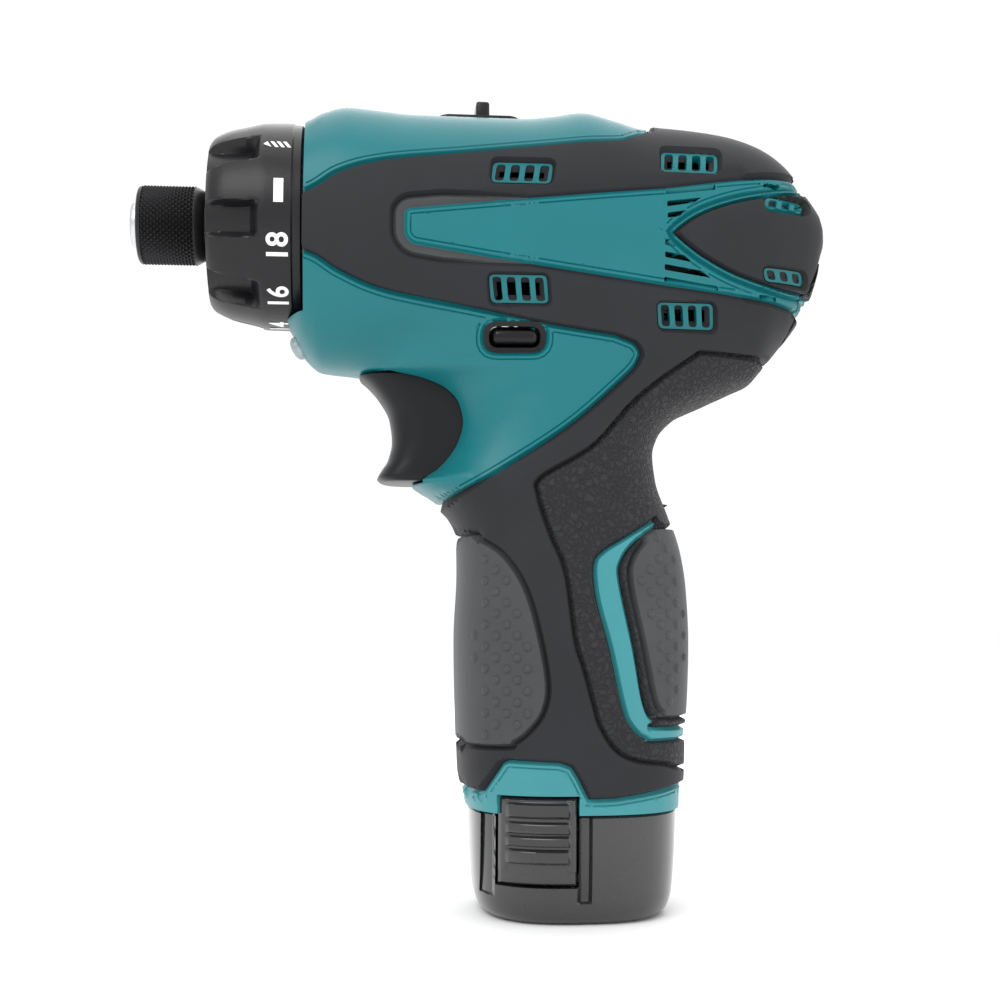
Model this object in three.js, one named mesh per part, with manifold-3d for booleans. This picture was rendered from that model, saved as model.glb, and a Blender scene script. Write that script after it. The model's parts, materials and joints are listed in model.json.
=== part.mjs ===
// A compact battery driver drill with a quarter-inch hex bit socket, in millimetres.
// The origin is the centre of the battery's foot, +Z is up, and the bit points along -X.
import * as THREE from "three";
import { mergeVertices } from "three/addons/utils/BufferGeometryUtils.js";
import Module from "manifold-3d";

const wasm = await Module();
wasm.setup();

// ---- Driving dimensions -------------------------------------------------------------------

const AXIS_Z = 148; // height of the spindle axis above the foot
const HEAD_FRONT = -58.8; // front face of the housing
const HEAD_REAR = 54; // rearmost point of the housing
const GRIP_BOTTOM = 22.5; // height of the joint between handle and battery
const WALL = 3.2; // housing wall with its soft cover
const COVER = 1.5; // thickness of the soft cover
const GAP = 0.3; // between pieces that touch
const SEAT_GAP = 0.5; // under the soft covers, whose faceted skins are nearly parallel
const RUN = 0.25; // radial running clearance of a faceted shaft

const GEAR_MODULE = 0.6;
const STAGE_1 = { sun: 12, planet: 18, ring: 48, width: 6.4 };
const STAGE_2 = { sun: 15, planet: 15, ring: 45, width: 6.4 };
const RING_RIM = 1.94; // metal outside the ring gear's tooth roots
const CASE_WALL = 1.3;
const PLANET_PIN_R = 1.3;

const SPINDLE_R = 5;
const SPINDLE_NOSE = 37.7; // how far the spindle stands out of the housing's front face
const HEX_HALF_FLATS = 3.22; // quarter-inch hex with its clearance
const HEX_DEPTH = 25;
const BALL_R = 1.25;
const SLEEVE_R = 8.6;
const SLEEVE_LENGTH = 14.6;
const NOSE_LAND = 1.6; // how far the spindle stands out of the bit sleeve

const RING_LENGTH = 20.1; // torque ring
const RING_TAPER = 4.1; // how much smaller its front radius is
const RING_GRIPS = 8;
const BOSS_R = 10.4; // tube of the gear case that carries the clutch nut

const MOTOR_R = 16.8;
const MOTOR_LENGTH = 53;
const SHAFT_R = 1.55;
const AIR_GAP = 0.9;

const CELL_R = 9.15;
const CELL_LENGTH = 65;
const CELL_X = 0.4; // centre of the three cells
const CUP_FLOOR = 4;
const HOLDER_WALL = 0.7;

const TRIGGER_HALF_WIDTH = 9;
const TRIGGER_TRAVEL = 6;
const SELECTOR_TRAVEL = 6;
const LATCH_X = [-17.9, -2.5];
const LATCH_TOP = 25.9;
const LATCH_BOTTOM = 8.4;
const LATCH_WALL = 2.4;
const LATCH_REACH = 16; // how near the middle a latch's rounded corner comes
const LATCH_SPACE = 4.6; // depth of the recess behind a latch
const SCREW_HEAD_R = 2.7;
const SCREW_SHANK_R = 1.3;

// ---- Sizes that follow from them ----------------------------------------------------------

const centreDistance = ((STAGE_1.sun + STAGE_1.planet) * GEAR_MODULE) / 2;
const ringPitchR = (STAGE_1.ring * GEAR_MODULE) / 2;
const ringGearR = ringPitchR + 1.1 * GEAR_MODULE + RING_RIM;
const caseR = ringGearR + GAP + CASE_WALL;
const insideR = Math.max(caseR, MOTOR_R + 1.2); // biggest round thing inside the head
const headR = insideR + 2 * GAP + WALL;
const ringBackR = headR + 0.1;
const noseDrop = headR + 10; // from the axis to the underside of the head
const cellRing = (CELL_R + 0.15) * (2 / Math.sqrt(3)); // cell centres from their middle
const holderR = CELL_R + GAP + HOLDER_WALL;
const handleHalfWidth = (cellRing * Math.sqrt(3)) / 2 + holderR + 1 + WALL;
const handleFront = cellRing + holderR - CELL_X + 1 + WALL;
const handleRear = handleFront - 1.1;
const cellTop = CUP_FLOOR + GAP + CELL_LENGTH;
const holderTop = cellTop + GAP + HOLDER_WALL;
const caseFront = HEAD_FRONT + 0.5;
const gear2X = caseFront + 8.4;
const gear1X = gear2X + STAGE_2.width + 5.8;
const motorX = gear1X + STAGE_1.width + 4.6;
const motorRear = motorX + MOTOR_LENGTH;
const spindleTip = HEAD_FRONT - SPINDLE_NOSE;
const sleeveFront = spindleTip + NOSE_LAND;
const triggerBack = -22;
const switchFront = triggerBack + TRIGGER_TRAVEL + 1.5;

// ---- Solid helpers ------------------------------------------------------------------------

const BIG = 400;

/** A manifold solid from a closed three.js geometry, with its faces turned outwards. */
function solid(geometry) {
  const bare = geometry.index ? geometry.toNonIndexed() : geometry.clone();
  bare.deleteAttribute("normal");
  bare.deleteAttribute("uv");
  const merged = mergeVertices(bare, 1e-4);
  const vertProperties = new Float32Array(merged.attributes.position.array);
  const triVerts = new Uint32Array(merged.index.array);
  const made = new wasm.Manifold(new wasm.Mesh({ numProp: 3, vertProperties, triVerts }));
  if (made.volume() > 0) return made;
  for (let i = 0; i < triVerts.length; i += 3) {
    [triVerts[i + 1], triVerts[i + 2]] = [triVerts[i + 2], triVerts[i + 1]];
  }
  return new wasm.Manifold(new wasm.Mesh({ numProp: 3, vertProperties, triVerts }));
}

/** A geometry from a manifold solid. */
function geometryOf(made) {
  const mesh = made.getMesh();
  const positions = new Float32Array(mesh.numVert * 3);
  for (let i = 0; i < mesh.numVert; i++) {
    const at = i * mesh.numProp;
    positions.set(mesh.vertProperties.subarray(at, at + 3), i * 3);
  }
  const geometry = new THREE.BufferGeometry();
  geometry.setAttribute("position", new THREE.BufferAttribute(positions, 3));
  geometry.setIndex(new THREE.BufferAttribute(mesh.triVerts, 1));
  return geometry;
}

const union = (...parts) => parts.flat(2).reduce((whole, part) => whole.add(part));
const cut = (from, ...tools) => tools.flat(2).reduce((left, tool) => left.subtract(tool), from);

/** A box from its lowest to its highest corner. */
function box([x0, y0, z0], [x1, y1, z1]) {
  const geometry = new THREE.BoxGeometry(x1 - x0, y1 - y0, z1 - z0);
  return solid(geometry.translate((x0 + x1) / 2, (y0 + y1) / 2, (z0 + z1) / 2));
}

/** An outline of flat points pushed along Z from 0 to depth. */
function pushed(outline, depth) {
  const shape = new THREE.Shape(outline.map(([a, b]) => new THREE.Vector2(a, b)));
  return new THREE.ExtrudeGeometry(shape, { depth, bevelEnabled: false });
}

/** A prism of a side-view outline of [x, z] points, from y0 to y1. */
function prism(outline, y0, y1) {
  return solid(pushed(outline, y1 - y0).rotateX(Math.PI / 2).translate(0, y1, 0));
}

/** A solid turned about a line along X through [y, z], from [x, radius] points. */
function turned(profile, segments, [y, z] = [0, AXIS_Z]) {
  const closed = profile[0][1] === 0 ? profile : [...profile, profile[0]];
  const points = closed.map(([x, r]) => new THREE.Vector2(r, x));
  const geometry = new THREE.LatheGeometry(points, segments);
  return solid(geometry.rotateZ(-Math.PI / 2).translate(0, y, z));
}

/** A tube, or a rod where the inner radius is 0, along X. */
function tube(x0, x1, outer, inner, segments, centre) {
  return turned([[x0, inner], [x0, outer], [x1, outer], [x1, inner]], segments, centre);
}

/** A box along the spindle axis, turned about that axis by an angle. */
function spoke([x0, y0, r0], [x1, y1, r1], angle) {
  const geometry = new THREE.BoxGeometry(x1 - x0, y1 - y0, r1 - r0);
  geometry.translate((x0 + x1) / 2, (y0 + y1) / 2, (r0 + r1) / 2);
  return solid(geometry.rotateX(angle).translate(0, 0, AXIS_Z));
}

/** A round bar along Y at x, z. */
function crossBar(x, z, radius, y0, y1, segments) {
  const geometry = new THREE.CylinderGeometry(radius, radius, y1 - y0, segments);
  return solid(geometry.translate(x, (y0 + y1) / 2, z));
}

/** A round bar along Z at x, y. */
function post(x, y, radius, z0, z1, segments) {
  const geometry = new THREE.CylinderGeometry(radius, radius, z1 - z0, segments);
  return solid(geometry.rotateX(Math.PI / 2).translate(x, y, (z0 + z1) / 2));
}

/** An outline of [y, z] points about a line along X, pushed from x0 to x1. */
function plateAlongX(outline, x0, x1, [y, z] = [0, AXIS_Z]) {
  const geometry = pushed(outline, x1 - x0);
  return solid(geometry.rotateX(Math.PI / 2).rotateZ(Math.PI / 2).translate(x0, y, z));
}

/** A closed solid through rings of the same number of points. */
function loft(rings) {
  const count = rings[0].length;
  const positions = [];
  const triangle = (a, b, c) => positions.push(...a, ...b, ...c);
  for (let i = 0; i + 1 < rings.length; i++) {
    for (let j = 0; j < count; j++) {
      const k = (j + 1) % count;
      const [a, b, c, d] = [rings[i][j], rings[i + 1][j], rings[i + 1][k], rings[i][k]];
      const leans = 4 * j < count || 2 * j >= count && 4 * j < 3 * count;
      if (leans) {
        triangle(a, b, c);
        triangle(a, c, d);
      } else {
        triangle(a, b, d);
        triangle(b, c, d);
      }
    }
  }
  for (const ring of [rings[0], rings.at(-1)]) {
    const turn = ring === rings[0] ? 1 : -1;
    for (let j = 1; j + 1 < count; j++) {
      const pair = turn > 0 ? [ring[j], ring[j + 1]] : [ring[j + 1], ring[j]];
      triangle(ring[0], ...pair);
    }
  }
  const geometry = new THREE.BufferGeometry();
  geometry.setAttribute("position", new THREE.Float32BufferAttribute(positions, 3));
  return solid(geometry);
}

const COIL_STEPS = 8;
const WIRE_SIDES = 5;

/** A coil spring along X, centred on height z. */
function coil(x0, x1, radius, wireR, turns, z = AXIS_Z) {
  const length = x1 - x0 - 2 * wireR;
  const points = [];
  const steps = turns * COIL_STEPS;
  for (let i = 0; i <= steps; i++) {
    const angle = (i / steps) * turns * 2 * Math.PI;
    const x = x0 + wireR + (length * i) / steps;
    points.push(new THREE.Vector3(x, radius * Math.cos(angle), z + radius * Math.sin(angle)));
  }
  const wire = new THREE.Shape(Array.from({ length: WIRE_SIDES }, (_, i) => {
    const angle = (i * 2 * Math.PI) / WIRE_SIDES;
    return new THREE.Vector2(wireR * Math.cos(angle), wireR * Math.sin(angle));
  }));
  const extrudePath = new THREE.CatmullRomCurve3(points);
  return solid(new THREE.ExtrudeGeometry(wire, { steps, extrudePath, bevelEnabled: false }));
}

// ---- Curves and outlines ------------------------------------------------------------------

/** A smooth single-valued curve through [t, value] points that never overshoots them. */
function through(points) {
  const slopes = points.map((_, i) => {
    if (i === 0 || i === points.length - 1) return 0;
    const [t0, v0] = points[i - 1];
    const [t1, v1] = points[i];
    const [t2, v2] = points[i + 1];
    const before = (v1 - v0) / (t1 - t0);
    const after = (v2 - v1) / (t2 - t1);
    if (before * after <= 0) return 0;
    return (2 * before * after) / (before + after);
  });
  return (t) => {
    if (t <= points[0][0]) return points[0][1];
    if (t >= points.at(-1)[0]) return points.at(-1)[1];
    const i = points.findIndex(([at]) => at > t) - 1;
    const [t0, v0] = points[i];
    const [t1, v1] = points[i + 1];
    const span = t1 - t0;
    const s = (t - t0) / span;
    const blend = s * s * (3 - 2 * s);
    const lead = s * (1 - s) * (1 - s) * span * slopes[i];
    const tail = s * s * (s - 1) * span * slopes[i + 1];
    return v0 + blend * (v1 - v0) + lead + tail;
  };
}

/** The points of a smooth open stretch, with a few points between the given ones. */
function bend(points, between = 3) {
  const curve = new THREE.SplineCurve(points.map(([x, z]) => new THREE.Vector2(x, z)));
  return curve.getPoints(between * (points.length - 1)).map((p) => [p.x, p.y]);
}

/** A closed outline moved outwards by d, or inwards where d is negative. */
function grow(outline, d) {
  const area = outline.reduce((sum, [x, z], i) => {
    const [nx, nz] = outline[(i + 1) % outline.length];
    return sum + (x * nz - nx * z) / 2;
  }, 0);
  const side = area > 0 ? 1 : -1;
  return outline.map(([x, z], i) => {
    const [px, pz] = outline.at(i - 1);
    const [nx, nz] = outline[(i + 1) % outline.length];
    const a = new THREE.Vector2(z - pz, px - x).normalize();
    const b = new THREE.Vector2(nz - z, x - nx).normalize();
    const normal = a.clone().add(b).normalize();
    const stretch = Math.min(1 / Math.max(normal.dot(a), 0.4), 2);
    return [x + side * d * stretch * normal.x, z + side * d * stretch * normal.y];
  });
}

/** A rectangle's outline with cut corners. */
function window4([x, z], width, height, corner) {
  const [w, h] = [width / 2, height / 2];
  const corners = [[w, h - corner], [w - corner, h], [corner - w, h], [-w, h - corner]];
  const lower = corners.map(([a, b]) => [-a, -b]);
  return [...corners, ...lower].map(([a, b]) => [x + a, z + b]);
}

// ---- The body's outer form ----------------------------------------------------------------

const fromRear = (d) => HEAD_REAR - d;
const fromFront = (d) => HEAD_FRONT + d;
const belowAxis = (d) => AXIS_Z - d;

// Height of the back of the head above the axis.
const headTop = through([
  [fromFront(-4), headR - 0.4], [fromFront(0), headR], [fromFront(3.8), headR + 2],
  [fromFront(8.8), headR + 3.3], [fromFront(14.8), headR + 2.8], [fromFront(22.8), headR + 2],
  [-12, headR + 1.8], [1, headR + 3.6], [8, headR + 2], [14, headR + 0.2],
  [fromRear(30), headR - 0.6], [fromRear(15), headR - 3.6], [fromRear(9), headR - 7.2],
  [fromRear(4), headR - 14.4], [HEAD_REAR, headR - 25.4],
]);
// Depth of the underside of the head below the axis.
const headDrop = through([
  [fromFront(-4.2), noseDrop - 10.4], [fromFront(-0.2), noseDrop - 3.8],
  [fromFront(3.8), noseDrop - 0.6], [fromFront(10.8), noseDrop], [20, noseDrop + 0.6],
  [fromRear(16), noseDrop - 0.9], [fromRear(11), noseDrop - 4.9], [fromRear(6), noseDrop - 9.9],
  [fromRear(2.5), noseDrop - 16.4], [HEAD_REAR, noseDrop - 26.4],
]);
const headWidth = through([
  [fromFront(-4.2), headR - 2.4], [fromFront(-0.2), headR + 0.2], [fromFront(8.8), headR + 2],
  [fromFront(23.8), headR + 2.8], [0, headR + 3.2], [fromRear(29), headR + 2.8],
  [fromRear(16), headR + 1.2], [fromRear(8), headR - 1.9], [fromRear(3), headR - 5.9],
  [HEAD_REAR, headR - 11.4],
]);
// The widest line runs along the axis, and drops a little at the rear end.
const headWaist = through([[fromRear(20), 0], [HEAD_REAR, -4.5]]);
const HEAD_SQUARENESS = 2.35;
const HEAD_STATIONS = [
  ...[-3.7, 0.5, 9.5, 24].map(fromFront), -12, 1, 12, ...[26, 15, 8.5, 3.5, 0].map(fromRear),
];
const HOLLOW_HEAD_STATIONS = [
  ...[WALL, 12].map(fromFront), 1, 14, ...[18, 9, 3, 0].map(fromRear),
];

const handleFrontAt = through([
  [GRIP_BOTTOM, 1 - handleFront], [32, 0.5 - handleFront], [58, -handleFront],
  [belowAxis(76), 0.6 - handleFront], [belowAxis(68), 0.4 - handleFront],
  [belowAxis(63.5), -1.6 - handleFront], [belowAxis(60), -5.4 - handleFront],
  [belowAxis(56.5), -10.4 - handleFront], [belowAxis(54), -7 - handleFront],
  [belowAxis(51), -4.2 - handleFront], [belowAxis(48), -2.4 - handleFront],
  [belowAxis(44), -1.4 - handleFront], [belowAxis(40), -2.4 - handleFront],
  [belowAxis(37), -4.8 - handleFront], [belowAxis(34.5), -9 - handleFront],
  [belowAxis(32), -17 - handleFront], [belowAxis(8), -15 - handleFront],
]);
const handleRearAt = through([
  [GRIP_BOTTOM, handleRear - 1.5], [35, handleRear - 0.9], [58, handleRear],
  [belowAxis(80), handleRear - 0.4], [belowAxis(72), handleRear - 1.4],
  [belowAxis(64), handleRear - 3.6], [belowAxis(56), handleRear - 6.2],
  [belowAxis(50), handleRear - 6.9], [belowAxis(46), handleRear - 5.8],
  [belowAxis(41.5), handleRear - 1.8], [belowAxis(37.5), handleRear + 6.2],
  [belowAxis(35.4), handleRear + 10.2], [belowAxis(32), handleRear + 15.2],
  [belowAxis(8), handleRear + 13],
]);
const handleWidth = through([
  [GRIP_BOTTOM, handleHalfWidth + 0.8], [58, handleHalfWidth],
  [belowAxis(75), handleHalfWidth - 0.4], [belowAxis(70), handleHalfWidth - 0.9],
  [belowAxis(56), handleHalfWidth - 2.9], [belowAxis(44), handleHalfWidth - 3.1],
  [belowAxis(24), handleHalfWidth - 3.1], [belowAxis(8), handleHalfWidth - 4.4],
]);
const handleSquareness = through([
  [GRIP_BOTTOM, 2.7], [belowAxis(78), 2.8], [belowAxis(58), 2.4], [belowAxis(8), 2.4],
]);
const HANDLE_STATIONS = [
  GRIP_BOTTOM, 45, ...[75, 65, 60, 56.5, 53, 48, 41, 36, 32, 8].map(belowAxis),
];
const HOLLOW_HANDLE_STATIONS = [
  GRIP_BOTTOM - 3, 45, ...[75, 62, 52, 44, 38, 30, 8].map(belowAxis),
];
const RING_POINTS = 20;

/** One rounded-square ring, as unit [across, along] pairs. */
function ringOf(squareness) {
  const power = 2 / squareness;
  const bulge = (v) => Math.sign(v) * Math.abs(v) ** power;
  return Array.from({ length: RING_POINTS }, (_, i) => {
    const angle = (2 * Math.PI * i) / RING_POINTS;
    return [bulge(Math.cos(angle)), bulge(Math.sin(angle))];
  });
}

/** The head, with its surface moved in by inset. */
function head(inset, stations = HEAD_STATIONS) {
  const least = 0.5;
  const rings = stations.map((x) => {
    const tail = Math.max(0, (x - fromRear(20)) / 20);
    const nose = Math.max(0, (fromFront(10) - x) / 10);
    const waist = headWaist(x);
    const up = Math.max(least, headTop(x) - waist - inset);
    const down = Math.max(least, headDrop(x) + waist - inset);
    const across = headWidth(x) - inset;
    const z = AXIS_Z + waist;
    return ringOf(HEAD_SQUARENESS).map(([a, b]) => [
      x - inset * tail + inset * nose, a * across, z + b * (b > 0 ? up : down),
    ]);
  });
  return loft(rings);
}

/** The handle and the web under the head, with its surface moved in by inset. */
function handle(inset, stations = HANDLE_STATIONS) {
  const rings = stations.map((z) => {
    const front = handleFrontAt(z) + inset;
    const rear = handleRearAt(z) - inset;
    const across = handleWidth(z) - inset;
    const top = z === stations.at(-1) ? inset : 0;
    return ringOf(handleSquareness(z)).map(([a, b]) => [
      (front + rear) / 2 + (b * (rear - front)) / 2, a * across, z - top,
    ]);
  });
  return loft(rings);
}

const bodyForm = (inset) => head(inset).add(handle(inset));

/** The battery's base, with its surface moved in by inset. */
function batteryForm(inset, top = GRIP_BOTTOM - GAP) {
  const [halfLength, halfWidth] = [handleFront - 2.4, handleHalfWidth + 0.1];
  const levels = [[0, 5], [0.7, 3.2], [2.2, 1.9], [5, 1.1], [16, 0.3], [top, 0]];
  const rings = levels.map(([z, narrower]) => {
    const away = narrower + inset;
    return ringOf(2.6).map(([a, b]) => [
      b * (halfLength - away) - 0.6, a * (halfWidth - away), Math.max(z, inset),
    ]);
  });
  return loft(rings.filter((_, i) => levels[i][0] >= inset));
}

// ---- Side-view outlines of the covers, as [x, z] ------------------------------------------

const onAxis = (points) => points.map(([x, dz]) => [x, AXIS_Z + dz]);
const PANEL_TOP = onAxis([[-37.9, -1.6], [-4.1, 2.2], [16.2, 4.3], [44.5, 9], [HEAD_REAR + 8, 12]]);
const PANEL_BOTTOM = onAxis([[HEAD_REAR + 8, -21.5], [49, -19.9], [16.4, -16.2], [-4, -13.5],
  [-37.2, -8.9]]);
const COVER_UPPER = onAxis([[fromFront(0.6), 2.4], [-51.3, 6.4], [-42.1, 9], [-24.4, 11.2],
  [-3.7, 13.9], [8.4, 15.2]]);
const COVER_LOWER = onAxis([[8.2, -26.9], [-8.3, -24.3], [-24.2, -21.2], [-41.9, -18],
  [-51.1, -14.4], [fromFront(0.6), -10.2]]);

/** The soft cover: two bands beside the side panel, then the whole handle. */
function coverOutline() {
  const [far, low] = [HEAD_REAR + 8, AXIS_Z - 60];
  return [
    ...COVER_UPPER,
    ...onAxis([[12.7, 17.6], [15.3, 19.3], [17, 40], [HEAD_REAR + 8, 40]]),
    ...PANEL_TOP.toReversed(),
    ...onAxis([[-38.7, -3], [-38.7, -8]]),
    ...PANEL_BOTTOM.toReversed(),
    [far, 27.8], [20.4, 27.8], [5.3, 25.9], [-0.1, 25.8], [-2.3, 30.1], [-3.7, 32.3],
    [-6.1, 33.3], [-16.2, 33.5], [-17.4, 32.9], [-20.2, 28.3], [-21.1, 26.8], [-45, 26.8],
    [-45, low - 1.5], [-28.6, low - 0.9],
    ...onAxis([[-5.7, -47.3], [8.3, -35.4], [11.9, -30.7], [11.9, -29.2]]),
    ...COVER_LOWER,
  ];
}

/** The teal stripe that shows through the cover on the handle. */
function stripeOutline() {
  const outer = [[17.6, 84.2], [3.4, 76.2], [1.2, 72.7], [1.9, 66.1], [4.5, 56.1], [6.9, 44.9],
    [8.6, 40.6], [12.1, 37.7], [21.2, 37]];
  const inner = [[21.2, 39.7], [14, 41.7], [11.7, 44.8], [9.6, 56.1], [6.8, 69.8], [7.1, 74],
    [10.1, 78], [18, 82.8]];
  return [...outer, ...inner];
}

/** The rear pad: a pointed tongue that widens to the rear end. */
function tongueOutline() {
  const far = HEAD_REAR + 8;
  const upper = onAxis([[18.6, -5.3], [21.6, -2.8], [25.7, -0.5], [31.9, 1.7], [38.3, 3.3],
    [46.8, 5.4]]);
  const lower = onAxis([[44, -16.2], [38.5, -15.4], [30.7, -13], [24.5, -10], [19.7, -6.6]]);
  return [...upper, [far, AXIS_Z + 7], [far, AXIS_Z - 17], ...lower];
}

// Each vent window: [centre x, centre height from the axis, bars' slots, width, height].
const COVER_VENTS = [[-13.5, 6.9, 4, 12.2, 4.7], [22.2, 10.6, 4, 12, 4.9],
  [-14, -17.6, 4, 12, 5.6], [21.6, -22.2, 4, 11.8, 5.2]];
const PAD_VENTS = [[42.6, 1.9, 3, 8.4, 2.8], [42.6, -13.1, 3, 8.4, 2.6]];
const SCREWS = onAxis([[-43, -26], [34.5, -25], [37.5, 10.2], [44, -4]]).concat([
  [9.8, AXIS_Z - 50], [-18.5, AXIS_Z - 66],
]);

const half = (side) => {
  const [low, high] = side < 0 ? [-BIG, -GAP / 2] : [GAP / 2, BIG];
  return box([-BIG, low, -BIG], [BIG, high, BIG]);
};

// ---- Housing ------------------------------------------------------------------------------

const wholeForm = bodyForm(0);
const skin = wholeForm.subtract(bodyForm(COVER));
const coverSeat = bodyForm(COVER + SEAT_GAP);
const seen = (outline, y = BIG / 2) => prism(outline, -y, y);

function ventSlots([x, dz, slots, width, height]) {
  const pitch = width / slots;
  return Array.from({ length: slots }, (_, i) => {
    const at = x - width / 2 + pitch * (i + 0.5);
    const [w, h] = [pitch * 0.31, height * 0.39];
    const z = AXIS_Z + dz;
    return seen([[at - w, z - h], [at + w, z - h], [at + w, z + h], [at - w, z + h]]);
  });
}

const ventWindow = ([x, dz, , width, height]) =>
  seen(window4([x, AXIS_Z + dz], width + 0.8, height + 0.8, 1));

/** Where the torque ring, and the space around it, cuts the front of the housing. */
function ringSpace() {
  const cleared = tube(HEAD_FRONT - 20, HEAD_FRONT, ringBackR + 0.4, 0, 48);
  const above = box([-BIG, -BIG, AXIS_Z - headR + 1], [HEAD_FRONT, BIG, BIG]);
  return [cleared, above];
}

/** The opening behind the trigger, between the two halves of the guard. */
function triggerSlot() {
  const y = TRIGGER_HALF_WIDTH + 0.6;
  const bottom = belowAxis(56.8);
  const top = belowAxis(noseDrop + 0.3);
  return box([-BIG, -y, bottom], [switchFront - 0.5, y, top]);
}

const LAMP = { x: fromFront(-1.2), z: belowAxis(noseDrop - 5.9), tilt: 0.5, r: 3.1 };

/** A round bar on the lamp's axis, which points forwards and down. */
function lampBar(radius, from, to, segments = 20) {
  const geometry = new THREE.CylinderGeometry(radius, radius, to - from, segments);
  geometry.rotateZ(Math.PI / 2).translate((from + to) / 2, 0, 0);
  return solid(geometry.rotateY(-LAMP.tilt).translate(LAMP.x, 0, LAMP.z));
}

const LEVER = { x: -14.7, z: belowAxis(27.1), length: 10, height: 3.5 };
const SELECTOR = { x: -20.9, stemX: -20, length: 18.6, width: 9 };

/** The slots for the lever, the speed selector's stem and the battery's latches. */
function controlSlots() {
  const lever = seen(window4([LEVER.x, LEVER.z], LEVER.length + 1.6, LEVER.height + 1.6, 1.6));
  const stem = box(
    [SELECTOR.stemX - 2.6 - SELECTOR_TRAVEL, -2, AXIS_Z],
    [SELECTOR.stemX + 2.6, 2, BIG],
  );
  const notch = box(
    [LATCH_X[0] - 0.4, -BIG, -BIG],
    [LATCH_X[1] + 0.4, BIG, LATCH_TOP + 0.4],
  );
  return [lever, stem, notch];
}

function screwBosses() {
  const inside = bodyForm(COVER + SEAT_GAP + 0.1);
  const boss = ([x, z]) => [
    crossBar(x, z, SCREW_SHANK_R + 1.6, -BIG, 0, 8),
    crossBar(x, z, SCREW_HEAD_R + 1.6, 0, BIG, 8),
  ];
  return SCREWS.flatMap(boss).map((bar) => bar.intersect(inside));
}

/** The screw's clearance hole, its thread hole and the counterbore for its head. */
function screwHoles([x, z]) {
  return [
    crossBar(x, z, SCREW_SHANK_R + GAP, -8.5, BIG, 8),
    crossBar(x, z, SCREW_HEAD_R + 1.5 * GAP, 8, BIG, 10),
  ];
}

const hollow = union(
  head(WALL, HOLLOW_HEAD_STATIONS),
  handle(WALL, HOLLOW_HANDLE_STATIONS),
  tube(HEAD_FRONT - 1, motorX + 1, caseR + 2 * GAP, 0, 36),
);
const cover = seen(coverOutline()).subtract(seen(stripeOutline()));
const coverRecess = seen(grow(coverOutline(), GAP)).subtract(seen(grow(stripeOutline(), -GAP)));
const tongue = seen(tongueOutline());
const tongueRecess = seen(grow(tongueOutline(), GAP));
const vents = COVER_VENTS.flatMap(ventSlots);
const windows = [...COVER_VENTS, ...PAD_VENTS].map(ventWindow);
const lampSeat = lampBar(LAMP.r + GAP, -8, 6);

const shell = cut(
  union(wholeForm.subtract(hollow), screwBosses()),
  coverRecess.subtract(coverSeat),
  tongueRecess.subtract(coverSeat),
  ringSpace(),
  triggerSlot(),
  controlSlots(),
  lampSeat,
  vents,
);
const screwSpace = SCREWS.flatMap(screwHoles);
const housing = (side) => cut(shell, screwSpace).intersect(half(side));
const gripCover = (side) =>
  cut(cover.intersect(skin), windows, screwSpace, ringSpace()).intersect(half(side));
const rearPad = (side) => cut(tongue.intersect(skin), windows, screwSpace).intersect(half(side));

function screw([x, z]) {
  const seat = 8 + GAP;
  const shank = crossBar(x, z, SCREW_SHANK_R, GAP - 8.5, seat + 0.5, 8);
  const head6 = crossBar(x, z, SCREW_HEAD_R, seat, seat + 2, 10);
  const recess = crossBar(x, z, 1.3, seat + 0.9, seat + 3, 6);
  return cut(union(shank, head6), recess);
}

// ---- Gears --------------------------------------------------------------------------------

/** A gear's outline of [y, z] points about its own centre; inward teeth for a ring gear. */
function gearOutline(teeth, phase, inward = false) {
  const pitchR = (teeth * GEAR_MODULE) / 2;
  const turn = inward ? -1 : 1;
  const tipR = pitchR + turn * 0.8 * GEAR_MODULE;
  const rootR = pitchR - turn * 1.1 * GEAR_MODULE;
  const [tipHalf, rootHalf] = [0.28 * GEAR_MODULE, 1.02 * GEAR_MODULE];
  const corners = [[rootR, -rootHalf], [tipR, -tipHalf], [tipR, tipHalf], [rootR, rootHalf]];
  const outline = [];
  for (let i = 0; i < teeth; i++) {
    const centre = phase + (2 * Math.PI * i) / teeth;
    for (const [radius, away] of corners) {
      const angle = centre + away / radius;
      outline.push([radius * Math.cos(angle), radius * Math.sin(angle)]);
    }
  }
  return outline;
}

const PIN_SIDES = 10;
const thirds = [0, 1, 2].map((i) => (i * 2 * Math.PI) / 3);
const planetCentre = (angle) =>
  [centreDistance * Math.cos(angle), AXIS_Z + centreDistance * Math.sin(angle)];

function ringGear(stage, x, phase) {
  const cutter = plateAlongX(gearOutline(stage.ring, phase, true), x - 1, x + stage.width + 1);
  return tube(x, x + stage.width, ringGearR, 0, 24).subtract(cutter);
}

function planet(stage, x, phase, angle) {
  const centre = planetCentre(angle);
  const gear = plateAlongX(gearOutline(stage.planet, phase), x, x + stage.width, centre);
  return cut(gear, tube(x - 1, x + stage.width + 1, PLANET_PIN_R + RUN, 0, PIN_SIDES, centre));
}

/** The pins that carry the planets. */
const planetPins = (x0, x1) =>
  thirds.map((angle) => tube(x0, x1, PLANET_PIN_R, 0, PIN_SIDES, planetCentre(angle)));

const halfTooth = (teeth) => Math.PI / teeth;

// ---- Gear case, clutch and torque ring ----------------------------------------------------

function gearCase() {
  const inner = caseR - CASE_WALL;
  const rear = motorX - 1;
  return turned([
    [HEAD_FRONT - RING_LENGTH + 3.4, BOSS_R - 1.7], [HEAD_FRONT - RING_LENGTH + 3.4, BOSS_R],
    [caseFront, BOSS_R], [caseFront, caseR], [rear, caseR], [rear, inner],
    [caseFront + 2.6, inner], [caseFront + 2.6, BOSS_R - 1.7],
  ], 28);
}

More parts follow.
